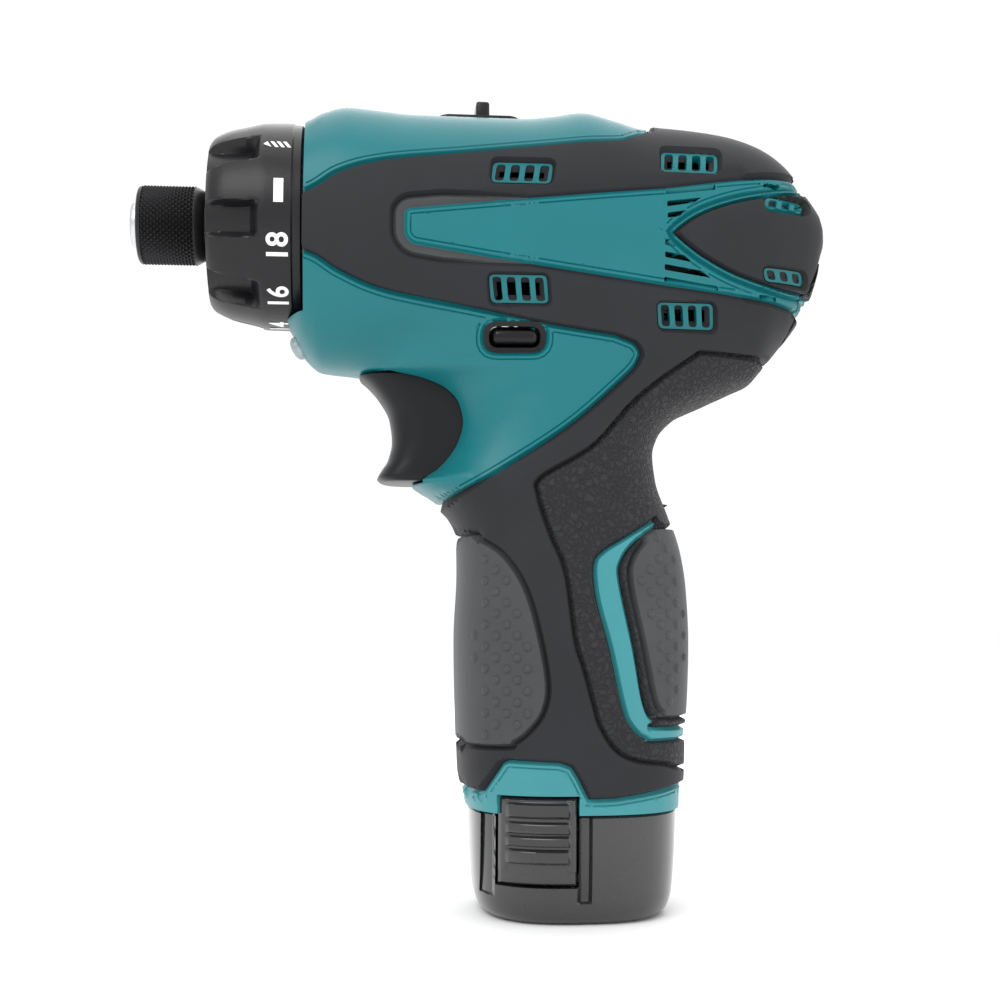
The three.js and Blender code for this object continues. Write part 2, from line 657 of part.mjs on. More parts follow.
const ringFront = HEAD_FRONT - GAP - RING_LENGTH;
const ringBack = HEAD_FRONT - GAP;
const ringInnerR = ringBackR - 6;

/** The torque ring: a barrel with open grip notches in its front half. */
function torqueRing() {
  const front = ringBackR - RING_TAPER;
  const body = turned([
    [ringFront, SLEEVE_R + 1], [ringFront, front - 0.4], [ringFront + 2.2, front + 1.8],
    [ringFront + 7, front + 3.3], [ringBack - 7, ringBackR], [ringBack, ringBackR - 0.1],
    [ringBack, ringInnerR], [ringFront + 2.4, ringInnerR], [ringFront + 2.4, SLEEVE_R + 1],
  ], 40);
  const notches = Array.from({ length: RING_GRIPS }, (_, i) => {
    const angle = (2 * Math.PI * (i + 0.5)) / RING_GRIPS;
    return spoke([ringFront - 1, -3.4, front - 0.2], [ringFront + 10.5, 3.4, ringBackR + 3], angle);
  });
  return cut(body, notches);
}

const nutX = ringFront + 4.6;
const clutchPlateX = caseFront - GAP - 1.5;
const clutchNut = () => tube(nutX, nutX + 4, ringInnerR - RUN * 2, BOSS_R + RUN * 1.5, 28);
const clutchPlate = () =>
  tube(clutchPlateX, clutchPlateX + 1.5, ringInnerR - 0.8, BOSS_R + RUN, 24);
const clutchSpring = () =>
  coil(nutX + 4 + GAP, clutchPlateX - GAP, (BOSS_R + ringInnerR) / 2, 0.75, 3);

// ---- Spindle and bit sleeve ---------------------------------------------------------------

const ballX = spindleTip + 9.2;
const ballLift = HEX_HALF_FLATS - 0.62 + BALL_R;
const stubR = 3.4;
const carrier2X = caseFront + 2.6 + GAP;

function spindle() {
  const shoulder = carrier2X - 0.1;
  const body = turned([
    [spindleTip, 0], [spindleTip, SPINDLE_R - 0.3], [spindleTip + 0.3, SPINDLE_R],
    [shoulder, SPINDLE_R], [shoulder, 0],
  ], 24);
  const stub = tube(shoulder - 1, carrier2X + 3.6, stubR, 0, 6);
  const corner = HEX_HALF_FLATS / Math.cos(Math.PI / 6);
  const hex = Array.from({ length: 6 }, (_, i) => {
    const angle = (i * Math.PI) / 3;
    return [corner * Math.cos(angle), corner * Math.sin(angle)];
  });
  const socket = plateAlongX(hex, spindleTip - 1, spindleTip + HEX_DEPTH);
  const ballHole = post(ballX, 0, BALL_R + GAP, AXIS_Z, AXIS_Z + 10, 12);
  return cut(union(body, stub), socket, ballHole);
}

function retainingBall() {
  const geometry = new THREE.SphereGeometry(BALL_R, 12, 8);
  return solid(geometry.translate(ballX, 0, AXIS_Z + ballLift));
}

function carrier2() {
  const disc = tube(carrier2X, carrier2X + 3.8, centreDistance + 3.4, 0, 24);
  const hole = tube(carrier2X - 1, carrier2X + 5, stubR + GAP, 0, 6);
  return union(cut(disc, hole), planetPins(carrier2X + 3, gear2X + STAGE_2.width));
}

const washerX = sleeveFront + 0.6;
const sleeveSeat = sleeveFront + 8;

/** The knurled bit sleeve; its front bore holds the spring against the stop washer. */
function bitSleeve() {
  const rear = sleeveFront + SLEEVE_LENGTH;
  const bore = SPINDLE_R + RUN;
  return turned([
    [sleeveFront, SPINDLE_R + 2.1], [sleeveFront, SLEEVE_R - 0.8],
    [sleeveFront + 0.8, SLEEVE_R], [rear - 3, SLEEVE_R], [rear - 2.2, SLEEVE_R - 0.7],
    [rear, SLEEVE_R - 1.2], [rear, bore], [sleeveSeat, bore], [sleeveSeat, SPINDLE_R + 2.1],
  ], 24);
}

const stopWasher = () => tube(washerX, washerX + 0.9, SPINDLE_R + 1.8, SPINDLE_R + GAP, 24);
const sleeveSpring = () => coil(washerX + 0.9 + GAP, sleeveSeat - GAP, SPINDLE_R + 1.1, 0.35, 3);

function carrier1() {
  const x = gear2X + STAGE_2.width + GAP + 1.2;
  const disc = tube(x, x + 3, centreDistance + 3.4, 0, 24);
  const sun = plateAlongX(gearOutline(STAGE_2.sun, 0), gear2X + GAP, x + 1);
  return union(disc, sun, planetPins(x + 2, gear1X + STAGE_1.width));
}

// ---- Motor --------------------------------------------------------------------------------

const canInner = MOTOR_R - 1.2;
const magnetInner = canInner - GAP - 1.9;
const armatureR = magnetInner - AIR_GAP;
const armatureX = [motorX + 13, motorX + 41];
const commutatorX = [motorX + 43.5, motorX + 49];
const COMMUTATOR_R = 4.4;

function motorCan() {
  return turned([
    [motorX, SHAFT_R + 1.2], [motorX, MOTOR_R], [motorRear, MOTOR_R], [motorRear, canInner],
    [motorX + 1.4, canInner], [motorX + 1.4, SHAFT_R + 1.2],
  ], 28);
}

/** One curved magnet, on the left or on the right of the armature. */
function magnet(side) {
  const reach = 1.15;
  const arc = (radius, from, to) =>
    Array.from({ length: 13 }, (_, i) => {
      const angle = from + ((to - from) * i) / 12;
      return [side * radius * Math.cos(angle), radius * Math.sin(angle)];
    });
  const outline = [...arc(canInner - GAP, -reach, reach), ...arc(magnetInner, reach, -reach)];
  return plateAlongX(outline, armatureX[0] - 1, armatureX[1] + 1);
}

/** The armature's core: five broad poles with open slots between them. */
function armature() {
  const outline = [];
  const POLES = 5;
  for (let i = 0; i < POLES; i++) {
    const centre = (2 * Math.PI * i) / POLES;
    const neck = 0.18;
    const tip = Math.PI / POLES - 0.09;
    const rim = [-1, -0.5, 0, 0.5, 1].map((part) => [armatureR, part * tip]);
    const pole = [
      [5, -Math.PI / POLES], [armatureR - 2.4, -neck], [armatureR - 2, -tip], ...rim,
      [armatureR - 2, tip], [armatureR - 2.4, neck],
    ];
    outline.push(...pole.map(([r, a]) => [r, centre + a]));
  }
  const points = outline.map(([r, a]) => [r * Math.cos(a), r * Math.sin(a)]);
  const bore = tube(armatureX[0] - 1, armatureX[1] + 1, SHAFT_R + GAP, 0, 16);
  return cut(plateAlongX(points, ...armatureX), bore);
}

/** The motor's shaft with its pinion. */
function motorShaft() {
  const shaft = tube(gear1X, motorRear + 3, SHAFT_R, 0, 16);
  const pinion = plateAlongX(gearOutline(STAGE_1.sun, 0), gear1X + GAP, gear1X + STAGE_1.width);
  return union(shaft, pinion);
}

const FAN_BLADES = 7;

/** The cooling fan: straight blades round a hub. */
function coolingFan() {
  const [x0, x1] = [motorX + 3.4, motorX + 9];
  const hub = tube(x0, x1, 4.5, 0, 20);
  const plate = tube(x1 - 1, x1, armatureR - 1, 0, 24);
  const blades = Array.from({ length: FAN_BLADES }, (_, i) =>
    spoke([x0, -0.45, 3], [x1, 0.45, armatureR - 1], (2 * Math.PI * i) / FAN_BLADES),
  );
  return cut(union(hub, plate, blades), tube(x0 - 1, x1 + 1, SHAFT_R + GAP, 0, 16));
}

const commutator = () => tube(...commutatorX, COMMUTATOR_R, SHAFT_R + GAP, 24);

/** A carbon brush above or below the commutator. */
function brush(side) {
  const [near, far] = [COMMUTATOR_R + GAP, COMMUTATOR_R + 6.5];
  const [low, high] = side > 0 ? [near, far] : [-far, -near];
  const [front, rear] = commutatorX;
  return box([front + 0.8, -1.6, AXIS_Z + low], [rear - 0.6, 1.6, AXIS_Z + high]);
}

function motorEndCap() {
  const x = motorRear + GAP;
  return turned([
    [x, SHAFT_R + RUN], [x, MOTOR_R - 0.2], [x + 2.2, MOTOR_R - 1], [x + 2.2, 5.5],
    [x + 4, 4.5], [x + 4, SHAFT_R + RUN],
  ], 24);
}

// ---- Trigger, lever, selector, lamp and switch --------------------------------------------

const PLUNGER_Z = belowAxis(44.5);
const SPRING_POCKET = 7; // depth of the return spring's pocket in the trigger

/** The trigger: a hollow-fronted button, rounded in plan, with the switch's plunger. */
function triggerButton() {
  const top = belowAxis(noseDrop + 0.8);
  const bottom = belowAxis(56.3);
  const front = bend([[-46.9, top - 0.5], [-42.9, top - 4.2], [-40.3, top - 9], [-39.6, top - 13.9],
    [-40.4, top - 18.4], [-42.9, bottom + 0.7]], 2);
  const outline = [...front, [-42.2, bottom], [triggerBack, bottom], [triggerBack, top],
    [-45.9, top]];
  const w = TRIGGER_HALF_WIDTH;
  const plan = [[-48, -4.5], [-45.5, 1 - w], [-41, -w], [BIG, -w], [BIG, w], [-41, w],
    [-45.5, w - 1], [-48, 4.5]];
  const rounded = solid(pushed(plan, BIG));
  const button = prism(outline, -w, w).intersect(rounded);
  const pocket = tube(triggerBack - SPRING_POCKET, triggerBack + 1, 3.6, 0, 12, [0, PLUNGER_Z]);
  const stem = tube(triggerBack - SPRING_POCKET - 1, switchFront + 0.8, 1.7, 0, 12, [0, PLUNGER_Z]);
  return union(cut(button, pocket), stem);
}

const triggerSpring = () =>
  coil(triggerBack - SPRING_POCKET + GAP, switchFront - GAP, 2.7, 0.4, 5, PLUNGER_Z);

function switchBody() {
  const body = box([switchFront, -8, belowAxis(54)], [switchFront + 19, 8, belowAxis(34.5)]);
  const neck = box([switchFront + 4, -5, belowAxis(35)], [switchFront + 14, 5, belowAxis(32)]);
  const reach = switchFront + TRIGGER_TRAVEL + 2;
  const port = tube(switchFront - 1, reach, 2.1, 0, 12, [0, PLUNGER_Z]);
  return cut(union(body, neck), port);
}

/** The direction lever: one bar through the body with a rounded button at each end. */
function directionLever() {
  const reach = handleWidth(LEVER.z) + 1.3;
  const outline = window4([LEVER.x, LEVER.z], LEVER.length, LEVER.height, 1.3);
  return prism(outline, -reach, reach);
}

const selectorZ = AXIS_Z + headTop(-12) + 0.55;
const stemBottom = AXIS_Z + insideR + 0.35;

/** The speed selector: a thin plate on the head with a raised thumb bar and a stem. */
function speedSelector() {
  const [x0, x1] = [SELECTOR.x - SELECTOR.length / 2, SELECTOR.x + SELECTOR.length / 2];
  const arch = [[x0, 0], [x1, 0], [x1 - 3, 0.8], [SELECTOR.x + 3, 1.4], [SELECTOR.x - 3, 1.4],
    [x0 + 3, 0.8]].map(([x, z]) => [x, selectorZ + z]);
  const w = SELECTOR.width / 2;
  const { stemX } = SELECTOR;
  const bar = box([stemX - 1.6, 1 - w, selectorZ + 0.5], [stemX + 1.6, w - 1, selectorZ + 4.3]);
  const stem = box([stemX - 2, -1.6, stemBottom], [stemX + 2, 1.6, selectorZ + 1]);
  return union(prism(arch, -w, w), bar, stem);
}


/** The lamp's lens, and the small board behind it. */
const lampLens = () => union(lampBar(LAMP.r, -2.6, 0.9), lampBar(LAMP.r - 0.7, 0.5, 1.5));
const lampBoard = () =>
  box([fromFront(6), -4, belowAxis(noseDrop - 5.2)], [fromFront(11), 4, belowAxis(noseDrop - 6.2)]);

// ---- Battery ------------------------------------------------------------------------------

const cellCentres = thirds.map((angle) => [
  CELL_X - cellRing * Math.cos(angle), cellRing * Math.sin(angle),
]);
const cellPosts = (radius, z0, z1, sides = 20) =>
  cellCentres.map(([x, y]) => post(x, y, radius, z0, z1, sides));

const latchWindow = (away) =>
  box([LATCH_X[0] - away, -BIG, LATCH_BOTTOM - away], [LATCH_X[1] + away, BIG, LATCH_TOP + away]);

function batteryCase() {
  const cavity = cellPosts(CELL_R + GAP, CUP_FLOOR, GRIP_BOTTOM + 5);
  const recess = batteryForm(-2).subtract(batteryForm(LATCH_SPACE)).intersect(latchWindow(0.4));
  return cut(batteryForm(0), cavity, recess);
}

function cellHolder() {
  const outside = union(cellPosts(holderR, GRIP_BOTTOM, holderTop));
  return cut(outside, cellPosts(CELL_R + GAP, GRIP_BOTTOM - 2, holderTop - HOLDER_WALL));
}

const cell = ([x, y]) => post(x, y, CELL_R, CUP_FLOOR + GAP, cellTop, 20);

/** A ribbed latch tab, on the left or on the right of the battery. */
function latchTab(side) {
  const top = LATCH_TOP + 2;
  const plate = batteryForm(0, top).subtract(batteryForm(LATCH_WALL, top)).intersect(latchWindow(0));
  const ribs = [0, 1, 2, 3].map((i) => {
    const z = LATCH_BOTTOM + 2 + i * 4;
    const slab = box([LATCH_X[0] + 1.5, -BIG, z], [LATCH_X[1] - 1.5, BIG, z + 2.4]);
    return batteryForm(-0.5, top).subtract(batteryForm(1, top)).intersect(slab);
  });
  const middle = box([-BIG, -LATCH_REACH, -BIG], [BIG, LATCH_REACH, BIG]);
  return cut(union(plate, ribs), middle).intersect(half(side));
}

const terminalBlock = () => box([-7, -8, holderTop + 1], [9, 8, holderTop + 5.5]);

// ---- Assembly -----------------------------------------------------------------------------

const tool = new THREE.Group();
const finish = (color, roughness, metalness = 0) => ({ color, roughness, metalness });
const TEAL = finish(0x0f7f84, 0.42);
const SOFT_BLACK = finish(0x2b2d30, 0.8);
const BLACK = finish(0x151618, 0.45);
const GLOSS_BLACK = finish(0x0c0d0f, 0.2);
const DARK_STEEL = finish(0x2a2b2d, 0.4, 0.9);
const STEEL = finish(0x9a9da1, 0.35, 1);
const ALLOY = finish(0xa8abad, 0.5, 1);
const COPPER = finish(0xb4693a, 0.4, 1);
const FERRITE = finish(0x35363a, 0.7);
const CARBON = finish(0x1d1d1f, 0.8);
const GREEN_BOARD = finish(0x1c5a34, 0.6);
const CLEAR = finish(0xe8eef0, 0.1);
const BLUE_SLEEVE = finish(0x2f5fa8, 0.5);

/** Adds one named mesh. */
function add(name, made, look) {
  const mesh = new THREE.Mesh(geometryOf(made), new THREE.MeshStandardMaterial(look));
  mesh.name = name;
  tool.add(mesh);
}

for (const [name, side] of [["left", -1], ["right", 1]]) {
  add(`housing_${name}`, housing(side), TEAL);
  add(`grip_cover_${name}`, gripCover(side), SOFT_BLACK);
  add(`rear_pad_${name}`, rearPad(side), SOFT_BLACK);
  add(`magnet_${name}`, magnet(side), FERRITE);
  add(`latch_tab_${name}`, latchTab(side), BLACK);
}
SCREWS.forEach((at, i) => add(`housing_screw_${i + 1}`, screw(at), STEEL));
cellCentres.forEach((at, i) => add(`cell_${i + 1}`, cell(at), BLUE_SLEEVE));
thirds.forEach((angle, i) => {
  const phase = halfTooth(STAGE_1.planet);
  add(`first_planet_${i + 1}`, planet(STAGE_1, gear1X, phase, angle), STEEL);
  add(`second_planet_${i + 1}`, planet(STAGE_2, gear2X, 0, angle), STEEL);
});

add("gear_case", gearCase(), ALLOY);
add("first_ring_gear", ringGear(STAGE_1, gear1X, 0), STEEL);
add("second_ring_gear", ringGear(STAGE_2, gear2X, halfTooth(STAGE_2.ring)), STEEL);
add("front_bushing", tube(ringFront + 6, ringFront + 16, BOSS_R - 2, SPINDLE_R + RUN, 24), COPPER);
add("clutch_plate", clutchPlate(), STEEL);
add("clutch_spring", clutchSpring(), STEEL);
add("clutch_nut", clutchNut(), STEEL);
add("torque_ring", torqueRing(), BLACK);
add("spindle", spindle(), STEEL);
add("retaining_ball", retainingBall(), STEEL);
add("second_carrier", carrier2(), STEEL);
add("stop_washer", stopWasher(), STEEL);
add("bit_sleeve", bitSleeve(), DARK_STEEL);
add("sleeve_spring", sleeveSpring(), STEEL);
add("first_carrier", carrier1(), STEEL);
add("motor_can", motorCan(), STEEL);
add("armature", armature(), DARK_STEEL);
add("motor_shaft", motorShaft(), STEEL);
add("cooling_fan", coolingFan(), BLACK);
add("commutator", commutator(), COPPER);
add("upper_brush", brush(1), CARBON);
add("lower_brush", brush(-1), CARBON);
add("motor_end_cap", motorEndCap(), BLACK);
add("trigger", triggerButton(), BLACK);
add("trigger_spring", triggerSpring(), STEEL);
add("switch_body", switchBody(), BLACK);
add("direction_lever", directionLever(), GLOSS_BLACK);
add("speed_selector", speedSelector(), BLACK);
add("lamp_lens", lampLens(), CLEAR);
add("lamp_board", lampBoard(), GREEN_BOARD);
add("terminal_block", terminalBlock(), BLACK);
add("battery_case", batteryCase(), GLOSS_BLACK);
add("cell_holder", cellHolder(), BLACK);

export default tool;
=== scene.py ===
"""A compact battery driver drill with a hex bit socket: the look of every piece, built round the frame."""

import json
import math

import bmesh
import bpy
import numpy as np
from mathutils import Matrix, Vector
from mathutils.geometry import delaunay_2d_cdt


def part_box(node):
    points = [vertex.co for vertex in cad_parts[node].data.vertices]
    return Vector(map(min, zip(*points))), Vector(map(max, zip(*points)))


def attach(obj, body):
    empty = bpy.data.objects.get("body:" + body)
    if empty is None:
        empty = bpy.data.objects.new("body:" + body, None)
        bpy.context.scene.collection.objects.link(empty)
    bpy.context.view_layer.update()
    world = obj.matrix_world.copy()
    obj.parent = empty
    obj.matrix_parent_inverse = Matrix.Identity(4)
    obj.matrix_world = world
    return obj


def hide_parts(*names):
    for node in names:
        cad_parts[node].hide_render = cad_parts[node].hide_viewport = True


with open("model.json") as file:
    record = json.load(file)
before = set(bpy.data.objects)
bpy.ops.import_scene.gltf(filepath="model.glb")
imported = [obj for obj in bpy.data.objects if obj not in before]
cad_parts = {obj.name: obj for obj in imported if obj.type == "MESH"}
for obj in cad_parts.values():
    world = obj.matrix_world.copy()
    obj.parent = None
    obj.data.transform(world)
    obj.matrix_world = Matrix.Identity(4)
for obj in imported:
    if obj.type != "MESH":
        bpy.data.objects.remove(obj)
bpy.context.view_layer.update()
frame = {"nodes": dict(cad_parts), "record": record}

MM = 0.001
LEFT, RIGHT = -1, 1
SIDES = ((LEFT, "left"), (RIGHT, "right"))


def box_mm(node):
    """The lowest and highest corner of a frame node, in millimetres."""
    low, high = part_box(node)
    return np.array(low) / MM, np.array(high) / MM


# ---- Sizes read from the frame, in millimetres ----

spindle_low, spindle_high = box_mm("spindle")
ring_low, ring_high = box_mm("torque_ring")
sleeve_low, sleeve_high = box_mm("bit_sleeve")
battery_low, battery_high = box_mm("battery_case")
trigger_low, trigger_high = box_mm("trigger")
lever_low, lever_high = box_mm("direction_lever")
selector_low, selector_high = box_mm("speed_selector")
latch_low, latch_high = box_mm("latch_tab_left")
lens_low, lens_high = box_mm("lamp_lens")

AXIS = (ring_low[2] + ring_high[2]) / 2
HEAD_FRONT = ring_high[0] + 0.3
GRIP_BOTTOM = battery_high[2] + 0.3
RING_R = (ring_high[2] - ring_low[2]) / 2
SLOT_HALF = trigger_high[1] + 0.6


# ---- Curves ----

def through(points):
    """A smooth curve through (t, value) points that never overshoots them."""
    t, v = np.array(points, float).T
    rise = np.diff(v) / np.diff(t)
    slope = np.zeros(len(t))
    for i in range(1, len(t) - 1):
        if rise[i - 1] * rise[i] > 0:
            slope[i] = 2 * rise[i - 1] * rise[i] / (rise[i - 1] + rise[i])

    def curve(at):
        at = np.clip(at, t[0], t[-1])
        i = np.clip(np.searchsorted(t, at, side="right") - 1, 0, len(t) - 2)
        span = t[i + 1] - t[i]
        s = (at - t[i]) / span
        ease = s * s * (3 - 2 * s)
        lead = s * (1 - s) ** 2 * span * slope[i]
        tail = s * s * (s - 1) * span * slope[i + 1]
        return v[i] + ease * (v[i + 1] - v[i]) + lead + tail

    return curve


def smoothstep(t):
    t = np.clip(t, 0, 1)
    return t * t * (3 - 2 * t)


def bend(points, step=1.0):
    """An open smooth line through the points, sampled about every step."""
    p = np.array(points, float)
    p = np.vstack([2 * p[0] - p[1], p, 2 * p[-1] - p[-2]])
    line = []
    for i in range(1, len(p) - 2):
        a, b, c, d = p[i - 1:i + 3]
        count = max(1, int(round(np.hypot(*(c - b)) / step)))
        for k in range(count):
            t = k / count
            line.append(0.5 * (2 * b + (c - a) * t + (2 * a - 5 * b + 4 * c - d) * t * t
                               + (3 * b - a - 3 * c + d) * t ** 3))
    line.append(p[-2])
    return [tuple(q) for q in line]


def divide(outline, step=1.0):
    """A closed outline with extra points, so that no side is longer than step."""
    made = []
    for i, (x, z) in enumerate(outline):
        nx, nz = outline[(i + 1) % len(outline)]
        count = max(1, int(math.ceil(math.hypot(nx - x, nz - z) / step)))
        made += [(x + (nx - x) * k / count, z + (nz - z) * k / count) for k in range(count)]
    return made


def rounded(outline, radius, steps=5):
    """A closed outline with its corners rounded."""
    made = []
    points = [np.array(p, float) for p in outline]
    for i, corner in enumerate(points):
        before, after = points[i - 1] - corner, points[(i + 1) % len(points)] - corner
        cut = min(radius, np.linalg.norm(before) * 0.48, np.linalg.norm(after) * 0.48)
        start = corner + before / np.linalg.norm(before) * cut
        end = corner + after / np.linalg.norm(after) * cut
        for k in range(steps + 1):
            t = k / steps
            made.append(tuple((1 - t) ** 2 * start + 2 * t * (1 - t) * corner + t * t * end))
    return made


def grown(outline, distance):
    """A closed outline moved outwards by a distance."""
    p = np.array(outline, float)
    ahead, behind = np.roll(p, -1, 0), np.roll(p, 1, 0)
    area = np.sum(p[:, 0] * ahead[:, 1] - p[:, 1] * ahead[:, 0])
    along = ahead - behind
    normal = np.stack([along[:, 1], -along[:, 0]], 1)
    normal /= np.linalg.norm(normal, axis=1)[:, None] + 1e-9
    return [tuple(q) for q in p + np.sign(area) * distance * normal]


def rectangle(centre, width, height, lean=0.0):
    """A rectangle's outline, its top pushed along X by lean."""
    x, z = centre
    w, h = width / 2, height / 2
    return [(x - w - lean, z - h), (x + w - lean, z - h), (x + w + lean, z + h), (x - w + lean, z + h)]


# ---- The body's form ----

head_top = through([
    (-63, 22), (-59, 22.4), (-55, 24.4), (-50, 25.7), (-44, 25.2), (-36, 24.4), (-12, 24.2),
    (-5, 25), (1, 26), (8, 24.4), (14, 22.6), (24, 21.8), (32, 20.8), (39, 18.8), (45, 15.2),
    (50, 8), (53.2, 0), (54.3, -4.2),
])
head_drop = through([
    (-63, 22), (-59, 28.6), (-55, 31.8), (-48, 32.4), (-30, 32.4), (20, 33), (38, 31.5),
    (43, 27.5), (48, 22.5), (51.5, 16), (53.4, 9), (54.3, 4.8),
])
head_width = through([
    (-63, 20), (-59, 22.6), (-50, 24.4), (-35, 25.2), (0, 25.6), (25, 25.2), (38, 23.6),
    (46, 20.5), (51, 16.5), (54.3, 10),
])
head_waist = through([(34, 0), (54, -4.5)])
handle_front = through([
    (20, -23.6), (32, -24.4), (58, -25), (72, -24.4), (80, -24.6), (84.5, -26.6), (88, -30.4),
    (91.5, -35.4), (94, -32), (97, -29.2), (100, -27.4), (104, -26.4), (108, -27.4),
    (111, -29.8), (113.5, -34), (116, -42), (124, -42),
])
handle_rear = through([
    (20, 22.4), (35, 22.9), (58, 23.8), (68, 23.4), (76, 22.4), (84, 20.2), (92, 17.6),
    (98, 16.9), (102, 18), (106.5, 22), (110.5, 30), (112.6, 34), (116, 39), (124, 41),
])
handle_width = through([(20, 24.4), (60, 23.8), (76, 22.7), (92, 20.6), (104, 20.3), (124, 20.3)])
handle_squareness = through([(20, 2.7), (70, 2.8), (90, 2.4), (124, 2.4)])
HEAD_SQUARENESS = 2.35
BLEND = 5.0
HANDLE_TOP = 126


def head_field(x, y, z):
    """Below zero inside the head, and about the distance in millimetres near its surface."""
    waist = head_waist(x)
    rise = z - AXIS - waist
    reach = np.where(rise > 0, head_top(x) - waist, head_drop(x) + waist)
    size = np.abs(y / head_width(x)) ** HEAD_SQUARENESS + np.abs(rise / reach) ** HEAD_SQUARENESS
    ends = np.maximum(x - 54.2, HEAD_FRONT - 3.6 - x)
    return np.maximum((size ** (1 / HEAD_SQUARENESS) - 1) * 21, ends)


def handle_field(x, y, z):
    front, rear = handle_front(z), handle_rear(z)
    power = handle_squareness(z)
    along = (x - (front + rear) / 2) / ((rear - front) / 2)
    size = np.abs(y / handle_width(z)) ** power + np.abs(along) ** power
    side = (size ** (1 / power) - 1) * 22
    return np.maximum(np.maximum(side, z - HANDLE_TOP), GRIP_BOTTOM - 6 - z)


def body_field(x, y, z):
    """The head and the handle, run together with a soft inner corner."""
    a, b = head_field(x, y, z), handle_field(x, y, z)
    near = np.maximum(BLEND - np.abs(a - b), 0) / BLEND
    return np.minimum(a, b) - near * near * BLEND / 4


def slope_of(field, x, y, z, step=0.02):
    """The field's gradient at each point."""
    return np.stack([
        field(x + step, y, z) - field(x - step, y, z),
        field(x, y + step, z) - field(x, y - step, z),
        field(x, y, z + step) - field(x, y, z - step),
    ], -1) / (2 * step)


def half_thickness(field, x, z):
    """How far the surface is from the middle plane, at each point of the side view."""
    low, high = np.zeros(len(x)), np.full(len(x), 40.0)
    for _ in range(26):
        middle = (low + high) / 2
        inside = field(x, middle, z) < 0
        low, high = np.where(inside, middle, low), np.where(inside, high, middle)
    return np.where(low < 0.02, 0, low)


def outline_of(field, start, step):
    """The outline in the middle plane, followed from the rear tip until it comes back near it."""
    probe = np.array([(0, 0), (0.03, 0), (-0.03, 0), (0, 0.03), (0, -0.03)])

    def settle(p):
        for _ in range(3):
            x, z = (p + probe).T
            value, east, west, up, down = field(x, np.zeros(5), z)
            g = np.array([east - west, up - down]) / 0.06
            p = p - g * value / max(g @ g, 0.1)
        return p, g

    p, g = settle(np.array(start, float))
    points = [p]
    while len(points) < 10 or np.hypot(*(points[-1] - points[0])) > 3:
        p, g = settle(points[-1] + step * np.array([-g[1], g[0]]) / np.linalg.norm(g))
        points.append(p)
        if len(points) > 900:
            raise ValueError("the outline doesn't close")
    last, gap = points[-1], points[0] - points[-1]
    missing = int(np.hypot(*gap) / step)
    points += [settle(last + gap * i / missing)[0] for i in range(1, missing)]
    return [tuple(q) for q in points]


# ---- Outlines of the body's areas, seen from the left, as (x, z) ----

FAR = 80  # behind the body's rear end

UPPER_EDGE = [(-70, 148.6), (-58.4, 150.4), (-51.3, 154.4), (-42.1, 157), (-24.4, 159.2),
              (-3.7, 161.9), (6, 162.9)]
LOWER_EDGE = [(6.4, 121.6), (-8.3, 123.7), (-24.2, 126.8), (-41.9, 130), (-51.1, 133.6),
              (-58.3, 137.8), (-70, 139.6)]
WEB_EDGE = [(-45, 89.2), (-33.9, 88.2), (-28.6, 87.1), (-5.7, 100.7), (8.3, 112.6),
            (11.6, 116.6), (11.8, 118.6), (10.4, 120.2)]
BAND_EDGE = [(FAR, 27.8), (20.4, 27.6), (5.3, 25.8), (-0.1, 25.7), (-2.3, 30.1), (-3.7, 32.3),
             (-6.1, 33.1), (-16.2, 33.5), (-17.4, 32.9), (-20.2, 28.3), (-21.1, 26.7), (-45, 24.4)]

cover = (bend(UPPER_EDGE) + bend([(8.4, 163.3), (12.7, 165.6), (15.8, 169), (17, 190)], 2)
         + [(FAR, 190)] + BAND_EDGE + bend(WEB_EDGE) + bend(LOWER_EDGE))
panel = rounded([(-38.1, 141), (-38.1, 145.9), (-37.2, 146.7), (-4.1, 150.2), (16.2, 152.3),
                 (44.5, 157), (FAR, 162), (FAR, 124), (49, 128.2), (16.4, 131.8), (-4, 134.5),
                 (-21.6, 136.9), (-36.6, 139.2)], 1.4)
tongue = bend([(18.2, 142.8), (21.6, 145.4), (25.7, 147.6), (31.9, 149.8), (38.3, 151.4),
               (46.8, 153.4), (52, 154), (FAR, 154)]) \
    + bend([(FAR, 132), (50, 132), (44, 132), (38.5, 132.8), (30.7, 135), (24.5, 138),
            (20.2, 141), (18.2, 142.8)])[:-1]
stripe = bend([(15.4, 83.3), (8, 79), (3.4, 76.2), (1.4, 73.4), (1.9, 66.1), (4.5, 56.1),
               (6.9, 44.9), (8.6, 40.6), (12.1, 37.7), (18.7, 37), (FAR, 36)]) \
    + bend([(FAR, 39), (18.7, 39.7), (14, 41.3), (11.7, 44.8), (9.6, 56.1), (6.8, 69.8),
            (7.1, 74), (10.1, 78), (15.7, 81.8)])
leather = bend([(24.9, 118.8), (11.9, 109.3), (1.6, 98.3), (-9.3, 91.4), (-9.9, 87.8),
                (-7.4, 79.3), (-4.6, 71.8), (-2.7, 57.9), (-0.7, 51), (0.9, 44.9), (2.1, 40.7),
                (5.2, 35.8), (9.4, 33.5), (16.6, 32.3), (24.1, 30.4), (FAR, 20)]) \
    + [(FAR, 118.8)]
front_pad = bend([(-60, 80.6), (-24.6, 80.3), (-21.3, 79), (-16.7, 75.4), (-12.6, 68.6),
                  (-9.9, 58.9), (-8.3, 49), (-9.1, 43.6), (-11.5, 39.9), (-14.7, 37.2),
                  (-19.5, 36), (-60, 35.8)])
rear_pad = bend([(FAR, 84), (17.4, 81.6), (12.4, 78.4), (9.3, 74.4), (8.8, 69.4), (11.6, 55.8),
                 (13.6, 46), (15.4, 43), (19, 41.6), (FAR, 41)])
